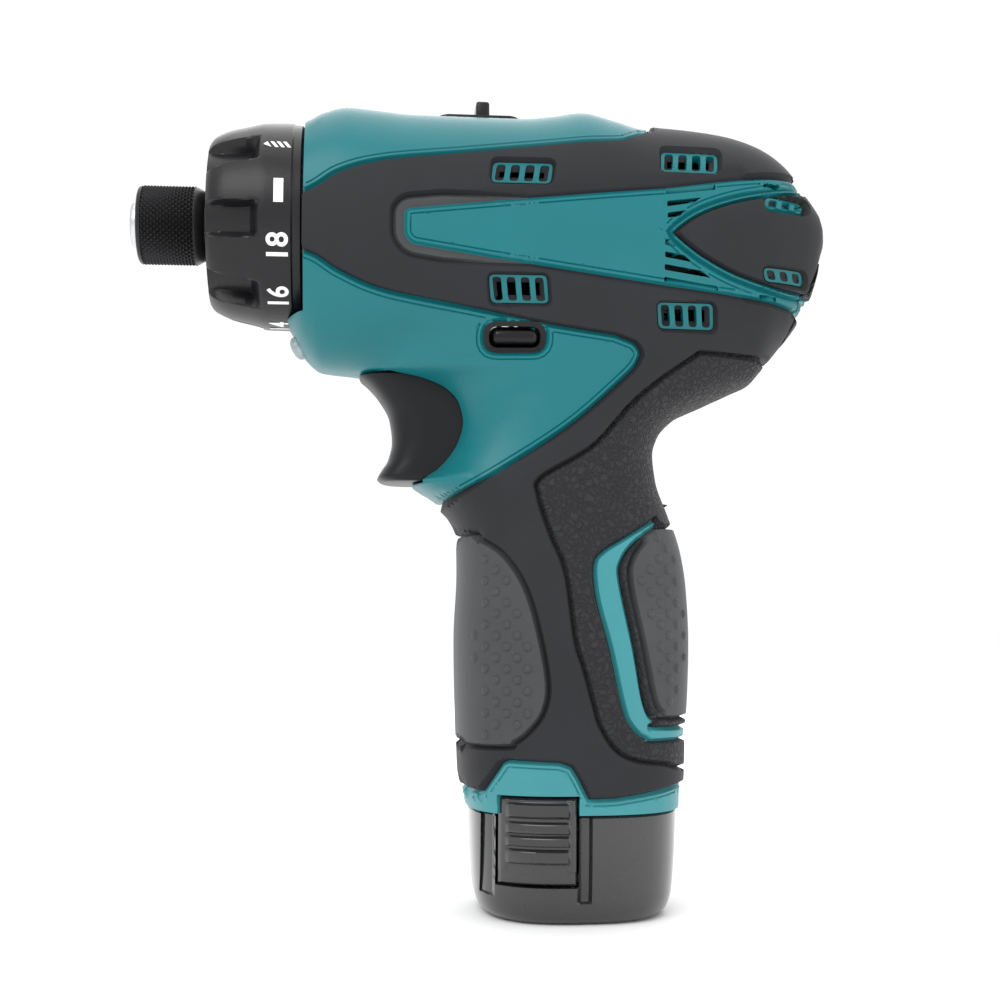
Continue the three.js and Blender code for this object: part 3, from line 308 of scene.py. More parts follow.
lever_bezel = rounded(rectangle(((lever_low[0] + lever_high[0]) / 2,
                                 (lever_low[2] + lever_high[2]) / 2), 13.2, 6.4), 3.1)
lever_hole = rounded(rectangle(((lever_low[0] + lever_high[0]) / 2,
                                (lever_low[2] + lever_high[2]) / 2), 10.8, 4.3), 2.0)
LATCH_NOTCH = [(latch_low[0] - 0.5, 10), (latch_high[0] + 0.5, 10),
               (latch_high[0] + 0.5, latch_high[2] + 0.5), (latch_low[0] - 0.5, latch_high[2] + 0.5)]

# Each vent window: centre x, centre z, number of slots, width, height, lean.
VENTS = [(-13.6, 154.8, 4, 13.4, 5.2, 0.3), (22.2, 158.6, 4, 13.2, 5.6, 0.3),
         (-14.1, 130.5, 4, 13, 6.2, -0.3), (21.6, 125.8, 4, 13, 5.8, -0.3)]
PAD_VENTS = [(43, 149.8, 3, 10.6, 3.6, 0.3), (43.1, 134.9, 3, 10.6, 3.4, -0.3)]
LOUVRES = [
    [(16.6, 150.8), (27.3, 152.2), (27.3, 153.4), (16.6, 152)],
    [(16.8, 148.2), (22.6, 149.2), (24.2, 150.4), (16.8, 149.4)],
    [(16.9, 145.8), (19.4, 146.2), (21, 147.6), (16.9, 146.9)],
    [(16.4, 140.1), (18.6, 139.8), (17.4, 141.4), (16.4, 141.2)],
    [(16.4, 137.6), (22.2, 136.7), (20.6, 138.1), (16.4, 138.8)],
    [(16.4, 135), (26.4, 133.6), (24.4, 135), (16.4, 136.2)],
    [(16.4, 132.6), (28.2, 131), (28, 131.9), (16.4, 133.6)],
]
SMALL_SLOTS = [rectangle((40.2, 154.1), 4, 1.1, 0.2), rectangle((39.5, 130.2), 4, 1.1, -0.2)]
SCREWS = [(-43, 122), (34.5, 123), (37.5, 158.2), (44, 144), (9.8, 98), (-18.5, 82)]


def vent_window(x, z, slots, width, height, lean):
    """The teal frame that shows round a vent's slots."""
    return rounded(rectangle((x, z), width - 0.9, height - 0.65, lean), 1.1)


def vent_slots(x, z, slots, width, height, lean):
    """The open slots of a vent: upright, with rounded ends."""
    pitch = (width - 1.2) / slots
    first = x - pitch * (slots - 1) / 2
    return [rounded(rectangle((first + i * pitch, z), pitch * 0.62, height - 1.5, lean), 0.7, 3)
            for i in range(slots)]


def circle(centre, radius, count=20):
    turn = 2 * math.pi / count
    return [(centre[0] + radius * math.cos(i * turn), centre[1] + radius * math.sin(i * turn))
            for i in range(count)]


def panel_bevel(width, end=-12, fade=18):
    """The bevelled end of the cover's window round the panel, narrowing to nothing."""
    points = []
    line = divide(panel)
    for (x, z), (far_x, far_z) in zip(line, grown(line, width)):
        part = min(max((end - x) / fade, 0), 1)
        if part > 0:
            points.append((x + (far_x - x) * part, z + (far_z - z) * part))
    middle = sum(z for _, z in points) / len(points)
    return sorted(points, key=lambda point: math.atan2(point[1] - middle, end - point[0]))


# Each area: name, outline, height above the form. A later area lies over an earlier one.
AREAS = [
    ("teal", None, 0.0), ("cover", cover, 0.75), ("panel_bevel", panel_bevel(2.3), 0.25),
    ("panel", panel, -0.1), ("leather", leather, 0.65), ("front_pad", front_pad, 0.85),
    ("rear_pad", rear_pad, 0.8), ("stripe", stripe, 0.3), ("tongue_rim", grown(tongue, 1.1), 0.9),
    ("tongue", tongue, 0.8), *[("frame", vent_window(*vent), -0.5) for vent in VENTS],
    *[("pad_frame", vent_window(*vent), -0.3) for vent in PAD_VENTS], ("bezel", lever_bezel, -0.5),
]
AREA_NAMES = [name for name, *_ in AREAS]
HOLES = [slot for vent in VENTS + PAD_VENTS for slot in vent_slots(*vent)]
HOLES += [rounded(slot, 0.35, 3) for slot in LOUVRES + SMALL_SLOTS] + [lever_hole, LATCH_NOTCH]

GROOVE = -0.85  # depth of the line between two areas
EDGE = 0.75  # width over which an area rises from its line
FINE_LINE = 1.35  # distance from a line to the finer line that follows it on the hard shell
RAILS = (0.14, 0.34, 0.7, 1.15, 1.35, 1.55)  # extra points on each side of a line
LATTICE = 1.0  # distance between the rows of points
WALL_DEPTH = 1.9
SCREW_HOLE_R = 3.15


def inside(outline, x, z):
    """Which points lie inside a closed outline."""
    hit = np.zeros(len(x), bool)
    p = np.array(outline, float)
    for (x0, z0), (x1, z1) in zip(p, np.roll(p, -1, 0)):
        if z0 == z1:
            continue
        crosses = (z0 > z) != (z1 > z)
        hit ^= crosses & (x < (x1 - x0) * (z - z0) / (z1 - z0) + x0)
    return hit


def distance_to(segments, x, z):
    """Each point's distance to the nearest segment."""
    best = np.full(len(x), 1e9)
    for x0, z0, x1, z1 in segments:
        dx, dz = x1 - x0, z1 - z0
        t = np.clip(((x - x0) * dx + (z - z0) * dz) / (dx * dx + dz * dz + 1e-12), 0, 1)
        best = np.minimum(best, (x - x0 - t * dx) ** 2 + (z - z0 - t * dz) ** 2)
    return np.sqrt(best)


def superellipse(angle, power):
    return np.sign(np.sin(angle)) * np.abs(np.sin(angle)) ** (2 / power)


def lattice_points():
    """Points over the side view, closer together where the surface turns away."""
    angles = np.radians(np.linspace(-87, 87, 84))
    x, t = np.meshgrid(np.arange(-62, 54, LATTICE), angles)
    b, waist = superellipse(t, HEAD_SQUARENESS), head_waist(x)
    reach = np.where(b > 0, head_top(x) - waist, head_drop(x) + waist)
    z = AXIS + waist + b * reach
    y = head_width(x) * np.abs(np.cos(t)) ** (2 / HEAD_SQUARENESS)
    own = handle_field(x, y, z) > -2
    head_points = np.stack([x[own], z[own]], -1)
    z, t = np.meshgrid(np.arange(GRIP_BOTTOM + 0.4, HANDLE_TOP, LATTICE), angles[::2])
    power = handle_squareness(z)
    b = superellipse(t, power)
    front, rear = handle_front(z), handle_rear(z)
    x = (front + rear) / 2 + b * (rear - front) / 2
    y = handle_width(z) * np.abs(np.cos(t)) ** (2 / power)
    own = head_field(x, y, z) > -2
    return np.vstack([head_points, np.stack([x[own], z[own]], -1)])


def lines_of(loops):
    """Every straight piece of some closed outlines."""
    return [(*a, *b) for loop in loops for a, b in zip(loop, loop[1:] + loop[:1])]


def side_sheet(holes):
    """The body's whole side as a flat sheet: points, triangles and each one's place in AREAS."""
    outlines = [divide(outline) for _, outline, _ in AREAS if outline]
    holes = [divide(hole, 0.8) for hole in holes]
    rim = outline_of(body_field, (53.7, AXIS - 1.8), 0.8)
    front = [(HEAD_FRONT, AXIS - 21.6), (HEAD_FRONT, 190), (-90, 190), (-90, AXIS - 21.6)]
    foot = [(-60, GRIP_BOTTOM), (60, GRIP_BOTTOM), (60, 5), (-60, 5)]
    loops = outlines + holes + [divide(front), divide(foot), rim]
    area_lines, hole_lines = lines_of(outlines), lines_of(holes)
    rails = [point for loop in outlines for away in RAILS for sign in (-1, 1)
             for point in grown(loop, sign * away)]
    inner = lattice_points()
    inner = inner[distance_to(area_lines, *inner.T) > RAILS[-1] + 0.3]
    inner = inner[distance_to(hole_lines, *inner.T) > 0.95]
    scattered = np.vstack([np.array(rails), inner])
    scattered = scattered[body_field(scattered[:, 0], np.zeros(len(scattered)), scattered[:, 1]) < -0.02]
    points, edges = [], []
    for loop in loops:
        start = len(points)
        points += [Vector(p) for p in loop]
        edges += [(start + i, start + (i + 1) % len(loop)) for i in range(len(loop))]
    points += [Vector(p) for p in scattered]
    verts, _, faces, *_ = delaunay_2d_cdt(points, edges, [], 0, 1e-4)
    verts = np.array([tuple(v) for v in verts])
    faces = np.array(faces)
    middle = verts[faces].mean(axis=1)
    area = np.zeros(len(faces), int)
    for index, (_, outline, _) in enumerate(AREAS):
        if outline:
            area[inside(outline, *middle.T)] = index
    gone = ~inside(rim, *middle.T) | inside(front, *middle.T) | (middle[:, 1] < GRIP_BOTTOM)
    for hole in holes:
        gone |= inside(hole, *middle.T)
    area[gone] = -1
    return verts, faces, area


def raise_areas(verts, faces, area):
    """How far each point stands off the form, from its area and its distance to a line."""
    owner = {}
    segments = []
    for face, index in zip(faces, area):
        for a, b in ((face[0], face[1]), (face[1], face[2]), (face[2], face[0])):
            key = (min(a, b), max(a, b))
            other = owner.setdefault(key, index)
            if other != index and other >= 0 and index >= 0:
                segments.append((*verts[a], *verts[b]))
    level = np.zeros(len(verts))
    heights = np.array([height for *_, height in AREAS])
    for index in range(len(AREAS)):
        level[np.unique(faces[area == index])] = heights[index]
    away = distance_to(segments, *verts.T)
    fine = np.clip(1 - np.abs(away - FINE_LINE) / 0.2, 0, 1) * (level <= 0) * (level > -0.2)
    raised = GROOVE + (level - GROOVE) * smoothstep(away / EDGE) - 0.28 * fine
    return np.where(level < -0.25, level, raised), away


def extra_relief(verts):
    """Gentle shapes inside the areas: the bevel round the panel and the tongue's ridge."""
    x, z = verts.T
    near = distance_to(lines_of([panel]), x, z)
    on_cover = inside(cover, x, z) & ~inside(panel, x, z)
    bevel = np.where(on_cover & (x < 34), -0.9 * (1 - smoothstep((near - 0.4) / 2.2)), 0)
    ridge = np.abs(z - (142.8 + (x - 18.4) * 0.143))
    on_tongue = inside(tongue, x, z)
    swell = np.where(on_tongue, 0.9 * (1 - smoothstep(ridge / 8)) * smoothstep((x - 18) / 14), 0)
    band = np.where(z < 24.6 + 0.09 * np.maximum(x, 0), -0.25, 0) * (z < 27)
    return bevel + swell + band


# ---- Mesh helpers ----

def linked(name, data):
    """A new object with this data, in the scene."""
    made = bpy.data.objects.new(name, data)
    bpy.context.scene.collection.objects.link(made)
    return made


def smooth(mesh, angle):
    """Smooth shading, with a sharp edge wherever faces meet at more than angle degrees."""
    mesh.shade_smooth()
    mesh.set_sharp_from_angle(angle=math.radians(angle))


def declare(piece, body, node=None):
    """Puts a piece on the body it rides on, and hides the frame node it stands in for."""
    if node:
        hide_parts(node)
    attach(piece, body)


def ring_faces(rings, sides, closed=False):
    """The quads between rings of points; closed joins the last ring to the first."""
    faces = []
    for i in range(rings if closed else rings - 1):
        k = (i + 1) % rings
        for j in range(sides):
            n = (j + 1) % sides
            faces.append((i * sides + j, i * sides + n, k * sides + n, k * sides + j))
    return faces


def mesh_object(name, points, faces, smooth_angle=32):
    """A mesh object in metres from points in millimetres."""
    mesh = bpy.data.meshes.new(name)
    mesh.from_pydata((np.array(points) * MM).tolist(), [], [tuple(int(i) for i in f) for f in faces])
    mesh.validate()
    made = linked(name, mesh)
    smooth(mesh, smooth_angle)
    return made


# ---- Turning the sheet into pieces ----

def better_triangles(points, faces, area):
    """Turns edges inside each area so that the triangles are well shaped in 3-D."""
    work = bmesh.new()
    kind = work.faces.layers.int.new("area")
    verts = [work.verts.new(point) for point in points]
    for face, index in zip(faces, area):
        work.faces.new([verts[i] for i in face])[kind] = int(index)
    free = [edge for edge in work.edges if len(edge.link_faces) == 2
            and edge.link_faces[0][kind] == edge.link_faces[1][kind]]
    bmesh.ops.beautify_fill(work, faces=work.faces[:], edges=free, method="AREA")
    work.verts.index_update()
    faces = np.array([[vert.index for vert in face.verts] for face in work.faces])
    area = np.array([face[kind] for face in work.faces])
    work.free()
    return faces, area


def side_surface(side, holes):
    """One side's points in 3-D, its triangles and each one's place in AREAS."""
    verts, faces, area = side_sheet(holes)
    kept = area >= 0
    faces, area = faces[kept], area[kept]
    verts, faces = own_points(verts, faces)
    x, z = verts.T
    y = half_thickness(body_field, x, z)
    normal = slope_of(body_field, x, y, z)
    normal /= np.linalg.norm(normal, axis=1)[:, None]
    normal[y == 0, 1] = 0
    offset, away = raise_areas(verts, faces, area)
    offset = offset + extra_relief(verts) * smoothstep(away / EDGE)
    points = np.stack([x, y, z], -1) + normal * offset[:, None]
    points[:, 1] *= side
    a, b, c = (points[faces[:, i]] for i in range(3))
    outward = np.cross(b - a, c - a)
    guide = normal[faces[:, 0]] * np.array([1, side, 1])
    turned = np.sum(outward * guide, axis=1) < 0
    faces[turned] = faces[turned][:, ::-1]
    faces, area = better_triangles(points, faces, area)
    return points, faces, area


def own_points(points, faces):
    """Only the points that these faces use."""
    used = np.unique(faces)
    number = np.zeros(len(points), int)
    number[used] = np.arange(len(used))
    return points[used], number[faces]


GUARD_REAR = -0.014  # in metres; the trigger slot is cut in front of this


def cut_trigger_slot(mesh):
    """Opens the front of the guard, between the planes of the slot."""
    work = bmesh.new()
    work.from_mesh(mesh)
    low, high = trigger_low[2] - 0.5, trigger_high[2] + 0.5

    def in_front(face, spare):
        """Whether a face is at the front, and within spare metres of the slot's height."""
        middle = face.calc_center_median()
        return middle.x < GUARD_REAR and low * MM - spare < middle.z < high * MM + spare

    for plane_co, plane_no in (((0, -SLOT_HALF, 0), (0, 1, 0)), ((0, SLOT_HALF, 0), (0, 1, 0)),
                               ((0, 0, low), (0, 0, 1)), ((0, 0, high), (0, 0, 1))):
        near = [face for face in work.faces if in_front(face, 0.003)]
        edges = dict.fromkeys(edge for face in near for edge in face.edges)
        verts = dict.fromkeys(vert for face in near for vert in face.verts)
        bmesh.ops.bisect_plane(work, geom=near + list(edges) + list(verts),
                               plane_co=Vector(plane_co) * MM, plane_no=plane_no)
    doomed = [face for face in work.faces if in_front(face, 0)
              and abs(face.calc_center_median().y) < SLOT_HALF * MM]
    bmesh.ops.delete(work, geom=doomed, context="FACES")
    work.to_mesh(mesh)
    work.free()


def give_walls(mesh, depth):
    """Adds a wall that goes inwards from every open edge."""
    work = bmesh.new()
    work.from_mesh(mesh)
    work.normal_update()
    inwards = {v: -v.normal * depth * MM for v in work.verts}
    rim = [e for e in work.edges if e.is_boundary]
    made = bmesh.ops.extrude_edge_only(work, edges=rim)["geom"]
    fresh = [v for v in made if isinstance(v, bmesh.types.BMVert)]
    for vert in fresh:
        old = [e.other_vert(vert) for e in vert.link_edges if e.other_vert(vert) in inwards]
        if old:
            vert.co += inwards[old[0]]
    bmesh.ops.recalc_face_normals(work, faces=work.faces)
    work.to_mesh(mesh)
    work.free()


# ---- Materials ----

class Value:
    """A number from a shader socket, so that shader maths reads as plain arithmetic."""

    def __init__(self, finish, socket):
        self.finish, self.socket = finish, socket

    def maths(self, operation, *values):
        return self.finish.node("ShaderNodeMath", {"operation": operation}, dict(enumerate(values)))[0]

    def __add__(self, other):
        return self.maths("ADD", self, other)

    __radd__ = __add__

    def __sub__(self, other):
        return self.maths("SUBTRACT", self, other)

    def __rsub__(self, other):
        return self.maths("SUBTRACT", other, self)

    def __mul__(self, other):
        return self.maths("MULTIPLY", self, other)

    __rmul__ = __mul__

    def between(self, low, high):
        """0 below low, 1 above high and a smooth rise from one to the other."""
        made = self.finish.node("ShaderNodeMapRange", {"interpolation_type": "SMOOTHSTEP", "clamp": True},
                                {0: self, 1: low, 2: high, 3: 0.0, 4: 1.0})
        return made[0]


class Finish:
    """One material: a principled shader and the nodes that feed it."""

    def __init__(self, name):
        self.material = bpy.data.materials.new(name)
        self.material.use_nodes = True
        self.tree = self.material.node_tree
        self.shader = self.tree.nodes["Principled BSDF"]
        self.place = self.node("ShaderNodeTexCoord", {}, {})[3]

    def node(self, kind, settings, inputs):
        """Adds a node, applies its settings, then its values or links; returns its outputs."""
        made = self.tree.nodes.new(kind)
        for key, value in settings.items():
            setattr(made, key, value)
        for key, value in inputs.items():
            self.feed(made.inputs[key], value)
        return [Value(self, socket) for socket in made.outputs]

    def feed(self, socket, value):
        if isinstance(value, Value):
            self.tree.links.new(value.socket, socket)
        elif isinstance(value, tuple) and len(value) == 3 and len(socket.default_value) == 4:
            socket.default_value = (*value, 1)
        else:
            socket.default_value = value

    def set(self, **values):
        """Sets the shader's own sockets; underscores stand for spaces."""
        for key, value in values.items():
            self.feed(self.shader.inputs[key.replace("_", " ")], value)
        return self

    def noise(self, scale, detail=3.0, roughness=0.55, stretch=None):
        """Smooth noise about 0.5; scale is in lumps to the metre."""
        place = self.place
        if stretch:
            place = self.node("ShaderNodeMapping", {}, {0: place, 3: stretch})[0]
        return self.node("ShaderNodeTexNoise", {}, {"Vector": place, "Scale": scale, "Detail": detail,
                                                    "Roughness": roughness})[0]

    def cells(self, scale, place, feature):
        """Distances in a pattern of cells; scale is in cells to the metre."""
        return self.node("ShaderNodeTexVoronoi", {"feature": feature}, {"Vector": place, "Scale": scale})[0]

    def tint(self, amount, dark, light):
        """A colour between dark and light."""
        return self.node("ShaderNodeMix", {"data_type": "RGBA"}, {0: amount, 6: dark, 7: light})[2]

    def bump(self, height, distance):
        """Raises the surface by height times distance, in metres."""
        return self.set(Normal=self.node("ShaderNodeBump", {}, {
            "Height": height, "Distance": distance, "Strength": 1.0})[0])


def scaled(colour, factor):
    return tuple(min(1.0, c * factor) for c in colour)


def moulded(name, colour, roughness, grain=0.00003, grain_scale=2600, mottle=0.06, coat=0.0,
            specular=0.5):
    """Moulded plastic: fine spark-eroded grain, faint flow marks and a little uneven gloss."""
    finish = Finish(name)
    flow = finish.noise(38, 4)
    speck = finish.noise(grain_scale, 2)
    tone = flow.between(0.3, 0.7) * 0.7 + speck * 0.3
    finish.set(Base_Color=finish.tint(tone, scaled(colour, 1 - mottle), scaled(colour, 1 + mottle)))
    finish.set(Roughness=roughness + (flow - 0.5) * 0.08 + (speck - 0.5) * 0.1)
    finish.set(Metallic=0.0, Coat_Weight=coat, Coat_Roughness=0.12)
    finish.set(Specular_IOR_Level=specular)
    finish.bump(speck, grain)
    return finish.material


def soft_rubber(name, colour, roughness=0.62):
    """Soft elastomer: a matt skin with dusty patches and very fine pits."""
    finish = Finish(name)
    dust = finish.noise(55, 5, 0.6)
    pits = finish.noise(1900, 3)
    tone = dust.between(0.35, 0.75) * 0.6 + pits * 0.4
    finish.set(Base_Color=finish.tint(tone, scaled(colour, 0.86), scaled(colour, 1.16)))
    finish.set(Roughness=roughness + (dust - 0.5) * 0.12 + (pits - 0.5) * 0.12)
    finish.set(Metallic=0.0, Specular_IOR_Level=0.24, Sheen_Weight=0.05, Sheen_Roughness=0.4)
    finish.bump(pits, 0.00004)
    return finish.material


def leather_grain(name, colour):
    """Rubber moulded like leather: winding wrinkles between small rounded pebbles, with painted shade down in
    the wrinkles and painted highlights on the pebbles.
    """
    finish = Finish(name)
    warp = finish.node("ShaderNodeTexNoise", {}, {"Vector": finish.place, "Scale": 420.0, "Detail": 3.0})[1]
    shift = finish.node("ShaderNodeVectorMath", {"operation": "SCALE"}, {0: warp, "Scale": 0.0030})[0]
    place = finish.node("ShaderNodeVectorMath", {"operation": "ADD"}, {0: finish.place, 1: shift})[0]
    coarse = finish.cells(640.0, place, "DISTANCE_TO_EDGE")
    fine = finish.cells(1300.0, place, "DISTANCE_TO_EDGE")
    pebble = coarse.between(0.0, 0.3) * 0.7 + fine.between(0.0, 0.35) * 0.3
    dust = finish.noise(60, 4)
    # Painted shade and highlight: the colour is darker in the wrinkles and lighter on the pebbles' tops, with
    # dusty patches over it.
    finish.set(Base_Color=finish.tint(pebble * 0.75 + dust * 0.25, scaled(colour, 0.5), scaled(colour, 1.3)))
    finish.set(Roughness=0.72 - pebble * 0.16)
    finish.set(Metallic=0.0, Specular_IOR_Level=0.32, Sheen_Weight=0.05, Sheen_Roughness=0.4)
    finish.bump(pebble, 0.0003)
    return finish.material


def machined(name, colour, roughness, stretch=(1, 40, 40), scale=90, metallic=1.0, oil=0.15):
    """Machined metal: fine turning marks and faint oily patches."""
    finish = Finish(name)
    marks = finish.noise(scale, 5, 0.6, stretch)
    patch = finish.noise(70, 4)
    tone = marks * 0.5 + patch.between(0.3, 0.7) * 0.5
    finish.set(Base_Color=finish.tint(tone, scaled(colour, 1 - oil), scaled(colour, 1 + oil)))
    finish.set(Roughness=roughness + (patch - 0.5) * 0.18 + (marks - 0.5) * 0.12)
    finish.set(Metallic=metallic)
    finish.bump(marks, 0.00002)
    return finish.material


def gloss_shell(name, colour, roughness=0.16):
    """Polished plastic with faint swirls and fingerprints in its gloss."""
    finish = Finish(name)
    swirl = finish.noise(24, 6, 0.65)
    dust = finish.noise(1400, 2)
    finish.set(Base_Color=finish.tint(swirl.between(0.35, 0.7), scaled(colour, 0.85), scaled(colour, 1.2)))
    finish.set(Roughness=roughness + swirl.between(0.45, 0.75) * 0.1 + dust.between(0.66, 0.8) * 0.1)
    finish.set(Metallic=0.0, Specular_IOR_Level=0.55, Coat_Weight=0.35, Coat_Roughness=0.08)
    finish.bump(swirl, 0.00003)
    return finish.material


def clear_lens(name):
    """Clear moulded lens, a little frosted."""
    finish = Finish(name)
    cloud = finish.noise(500, 3)
    finish.set(Base_Color=finish.tint(cloud, (0.82, 0.86, 0.88), (0.95, 0.97, 0.98)))
    finish.set(Roughness=0.1 + cloud * 0.15, Transmission_Weight=0.75, IOR=1.49)
    finish.bump(cloud, 0.00003)
    return finish.material


def circuit_board(name):
    """A circuit board's lacquer with copper tracks."""
    finish = Finish(name)
    track = finish.cells(420, finish.place, "F1")
    mask = track.between(0.45, 0.5)
    finish.set(Base_Color=finish.tint(mask, (0.02, 0.16, 0.06), (0.45, 0.3, 0.1)))
    finish.set(Roughness=0.35 + mask * 0.2, Metallic=mask * 0.8)
    finish.bump(mask, 0.00004)
    return finish.material


TEAL_COLOUR = (0.004, 0.140, 0.158)
RUBBER_COLOUR = (0.017, 0.0175, 0.0205)
teal = moulded("teal_nylon", TEAL_COLOUR, 0.36, mottle=0.05, specular=0.32)
# Painted light: a lighter copy of the teal nylon for the stripe and the band round the base, painted lighter
# as if the lamps lit the bottom of the body more brightly.
painted_light_teal = moulded("painted_light_teal_nylon", (0.035, 0.235, 0.26), 0.4, mottle=0.05, specular=0.4)
rubber = soft_rubber("soft_rubber", RUBBER_COLOUR)
# Painted light: a lighter copy of the soft rubber for the grip pads, their dimples and the bevel round the
# panel, painted lighter as if lit more brightly.
painted_light_rubber = soft_rubber("painted_light_rubber", (0.052, 0.054, 0.057), 0.55)
grained = leather_grain("leather_grained_rubber", scaled(RUBBER_COLOUR, 0.95))
ring_black = moulded("ring_black", (0.007, 0.007, 0.0085), 0.32, mottle=0.1, specular=0.32)
trigger_black = moulded("trigger_black", (0.006, 0.0065, 0.008), 0.36, mottle=0.1, specular=0.22)
inner_black = moulded("inner_black", (0.01, 0.01, 0.011), 0.55, mottle=0.15)
battery_black = gloss_shell("battery_black", (0.02, 0.02, 0.021), 0.2)
lever_black = moulded("lever_black", (0.003, 0.003, 0.0035), 0.2, grain=0.000004, mottle=0.2, specular=0.3)
white_print = moulded("white_print", (0.85, 0.85, 0.83), 0.5, mottle=0.03)
black_oxide = machined("black_oxide", (0.028, 0.028, 0.03), 0.34, metallic=0.85)
steel = machined("ground_steel", (0.56, 0.57, 0.58), 0.3)
dull_steel = machined("dull_steel", (0.07, 0.07, 0.075), 0.45, metallic=0.8)
alloy = machined("die_cast_alloy", (0.6, 0.61, 0.62), 0.46, stretch=(1, 1, 1), scale=600)
bronze = machined("sintered_bronze", (0.5, 0.32, 0.15), 0.42)
copper = machined("turned_copper", (0.75, 0.36, 0.2), 0.3)
ferrite = machined("ground_ferrite", (0.07, 0.07, 0.075), 0.6, metallic=0.3)
carbon = moulded("pressed_carbon", (0.02, 0.02, 0.021), 0.7)
board = circuit_board("lacquered_board")
cell_wrap = gloss_shell("shrink_wrap", (0.02, 0.09, 0.3), 0.28)
lens = clear_lens("lamp_lens")

NODE_FINISHES = {"teal_shell": teal, "soft_cover": rubber, "black_plastic": inner_black,
                 "gloss_black": battery_black, "black_metal": black_oxide, "steel": steel,
                 "alloy": alloy, "bronze": bronze, "copper": copper, "ferrite": ferrite,
                 "carbon": carbon, "board": board, "lens": lens, "cell_wrap": cell_wrap}
for part in frame["record"]["subparts"]:
    node = frame["nodes"][part["node"]]
    for slot in node.material_slots:
        slot.material = NODE_FINISHES[part["material_slot"]]
        if part["node"] == "motor_can" or part["node"].startswith("housing_screw"):
            slot.material = dull_steel


# ---- Geometry node helper ----

class Tree:
    """A geometry node tree with named inputs for its sizes."""

    def __init__(self, name, inputs):
        self.group = bpy.data.node_groups.new(name, "GeometryNodeTree")
        face = self.group.interface
        face.new_socket("Geometry", in_out="INPUT", socket_type="NodeSocketGeometry")
        self.names = {}
        for label, (kind, value) in inputs.items():
            made = face.new_socket(label, in_out="INPUT", socket_type=kind)
            made.default_value = value
            self.names[label] = made.identifier
        face.new_socket("Geometry", in_out="OUTPUT", socket_type="NodeSocketGeometry")
        self.entry = self.group.nodes.new("NodeGroupInput")
        self.exit = self.group.nodes.new("NodeGroupOutput")

    def node(self, kind, settings, inputs):
        """Adds a node, applies its settings, then its values or links."""
        made = self.group.nodes.new(kind)
        for key, value in settings.items():
            setattr(made, key, value)
        for key, value in inputs.items():
            if isinstance(value, bpy.types.NodeSocket):
                self.group.links.new(value, made.inputs[key])
            else:
                made.inputs[key].default_value = value
        return made

    def given(self, label):
        return self.entry.outputs[label]

    def finish(self, geometry, material):
        """Realizes the instances, sets the material and ends the tree."""
        real = self.node("GeometryNodeRealizeInstances", {}, {0: geometry})
        painted = self.node("GeometryNodeSetMaterial", {}, {0: real.outputs[0], "Material": material})
        self.group.links.new(painted.outputs[0], self.exit.inputs[0])

    def grow(self, name, base, sizes):
        """Runs the tree on a mesh object and returns the plain result; the base goes away."""
        modifier = base.modifiers.new("grow", "NODES")
        modifier.node_group = self.group
        for label, value in sizes.items():
            modifier[self.names[label]] = value
        shown = base.evaluated_get(bpy.context.evaluated_depsgraph_get())
        mesh = bpy.data.meshes.new_from_object(shown)
        base.modifiers.clear()
        made = linked(name, mesh)
        bpy.data.objects.remove(base)
        smooth(mesh, 35)
        return made


def scatter_tree(name, material):
    """One copy of a small object on every point, its Z along the point's lean and sized by Size."""
    tree = Tree(name, {"Bump": ("NodeSocketObject", None), "Size": ("NodeSocketFloat", 1.0)})
    lean = tree.node("GeometryNodeInputNamedAttribute", {"data_type": "FLOAT_VECTOR"}, {0: "lean"})
    turn = tree.node("FunctionNodeAlignRotationToVector", {"axis": "Z"}, {"Vector": lean.outputs[0]})
    bump = tree.node("GeometryNodeObjectInfo", {}, {"Object": tree.given("Bump")})
    placed = tree.node("GeometryNodeInstanceOnPoints", {}, {
        "Points": tree.given("Geometry"), "Instance": bump.outputs["Geometry"],
        "Rotation": turn.outputs[0], "Scale": tree.given("Size")})
    tree.finish(placed.outputs[0], material)
    return tree


def point_cloud(name, points, leans):
    """A mesh of loose points in millimetres, each with the direction that its copy faces."""
    mesh = bpy.data.meshes.new(name)
    mesh.from_pydata((np.array(points) * MM).tolist(), [], [])
    lean = mesh.attributes.new("lean", "FLOAT_VECTOR", "POINT")
    lean.data.foreach_set("vector", np.array(leans, np.float32).ravel())
    made = linked(name, mesh)
    return made


# ---- Turned and swept pieces ----

def turned(name, profile, material, sides=96, radius_at=None, angle_limit=32):
    """A surface turned about the spindle axis from a closed loop of (x, radius) points."""
    points = []
    for x, r in profile:
        for j in range(sides):
            angle = 2 * math.pi * j / sides
            here = radius_at(x, r, angle) if radius_at else r
            points.append((x, here * math.cos(angle), AXIS + here * math.sin(angle)))
    made = mesh_object(name, points, ring_faces(len(profile), sides, closed=True), angle_limit)
    fix_normals(made.data)
    made.data.materials.append(material)
    return made


def fix_normals(mesh):
    work = bmesh.new()
    work.from_mesh(mesh)
    bmesh.ops.remove_doubles(work, verts=work.verts, dist=1e-7)
    bmesh.ops.recalc_face_normals(work, faces=work.faces)
    work.to_mesh(mesh)
    work.free()


def join(name, pieces):
    """Several mesh objects made into one, with their materials."""
    for other in bpy.context.selected_objects:
        other.select_set(False)
    for piece in pieces:
        piece.select_set(True)
    bpy.context.view_layer.objects.active = pieces[0]
    bpy.ops.object.join()
    pieces[0].name = name
    pieces[0].data.name = name
    return pieces[0]


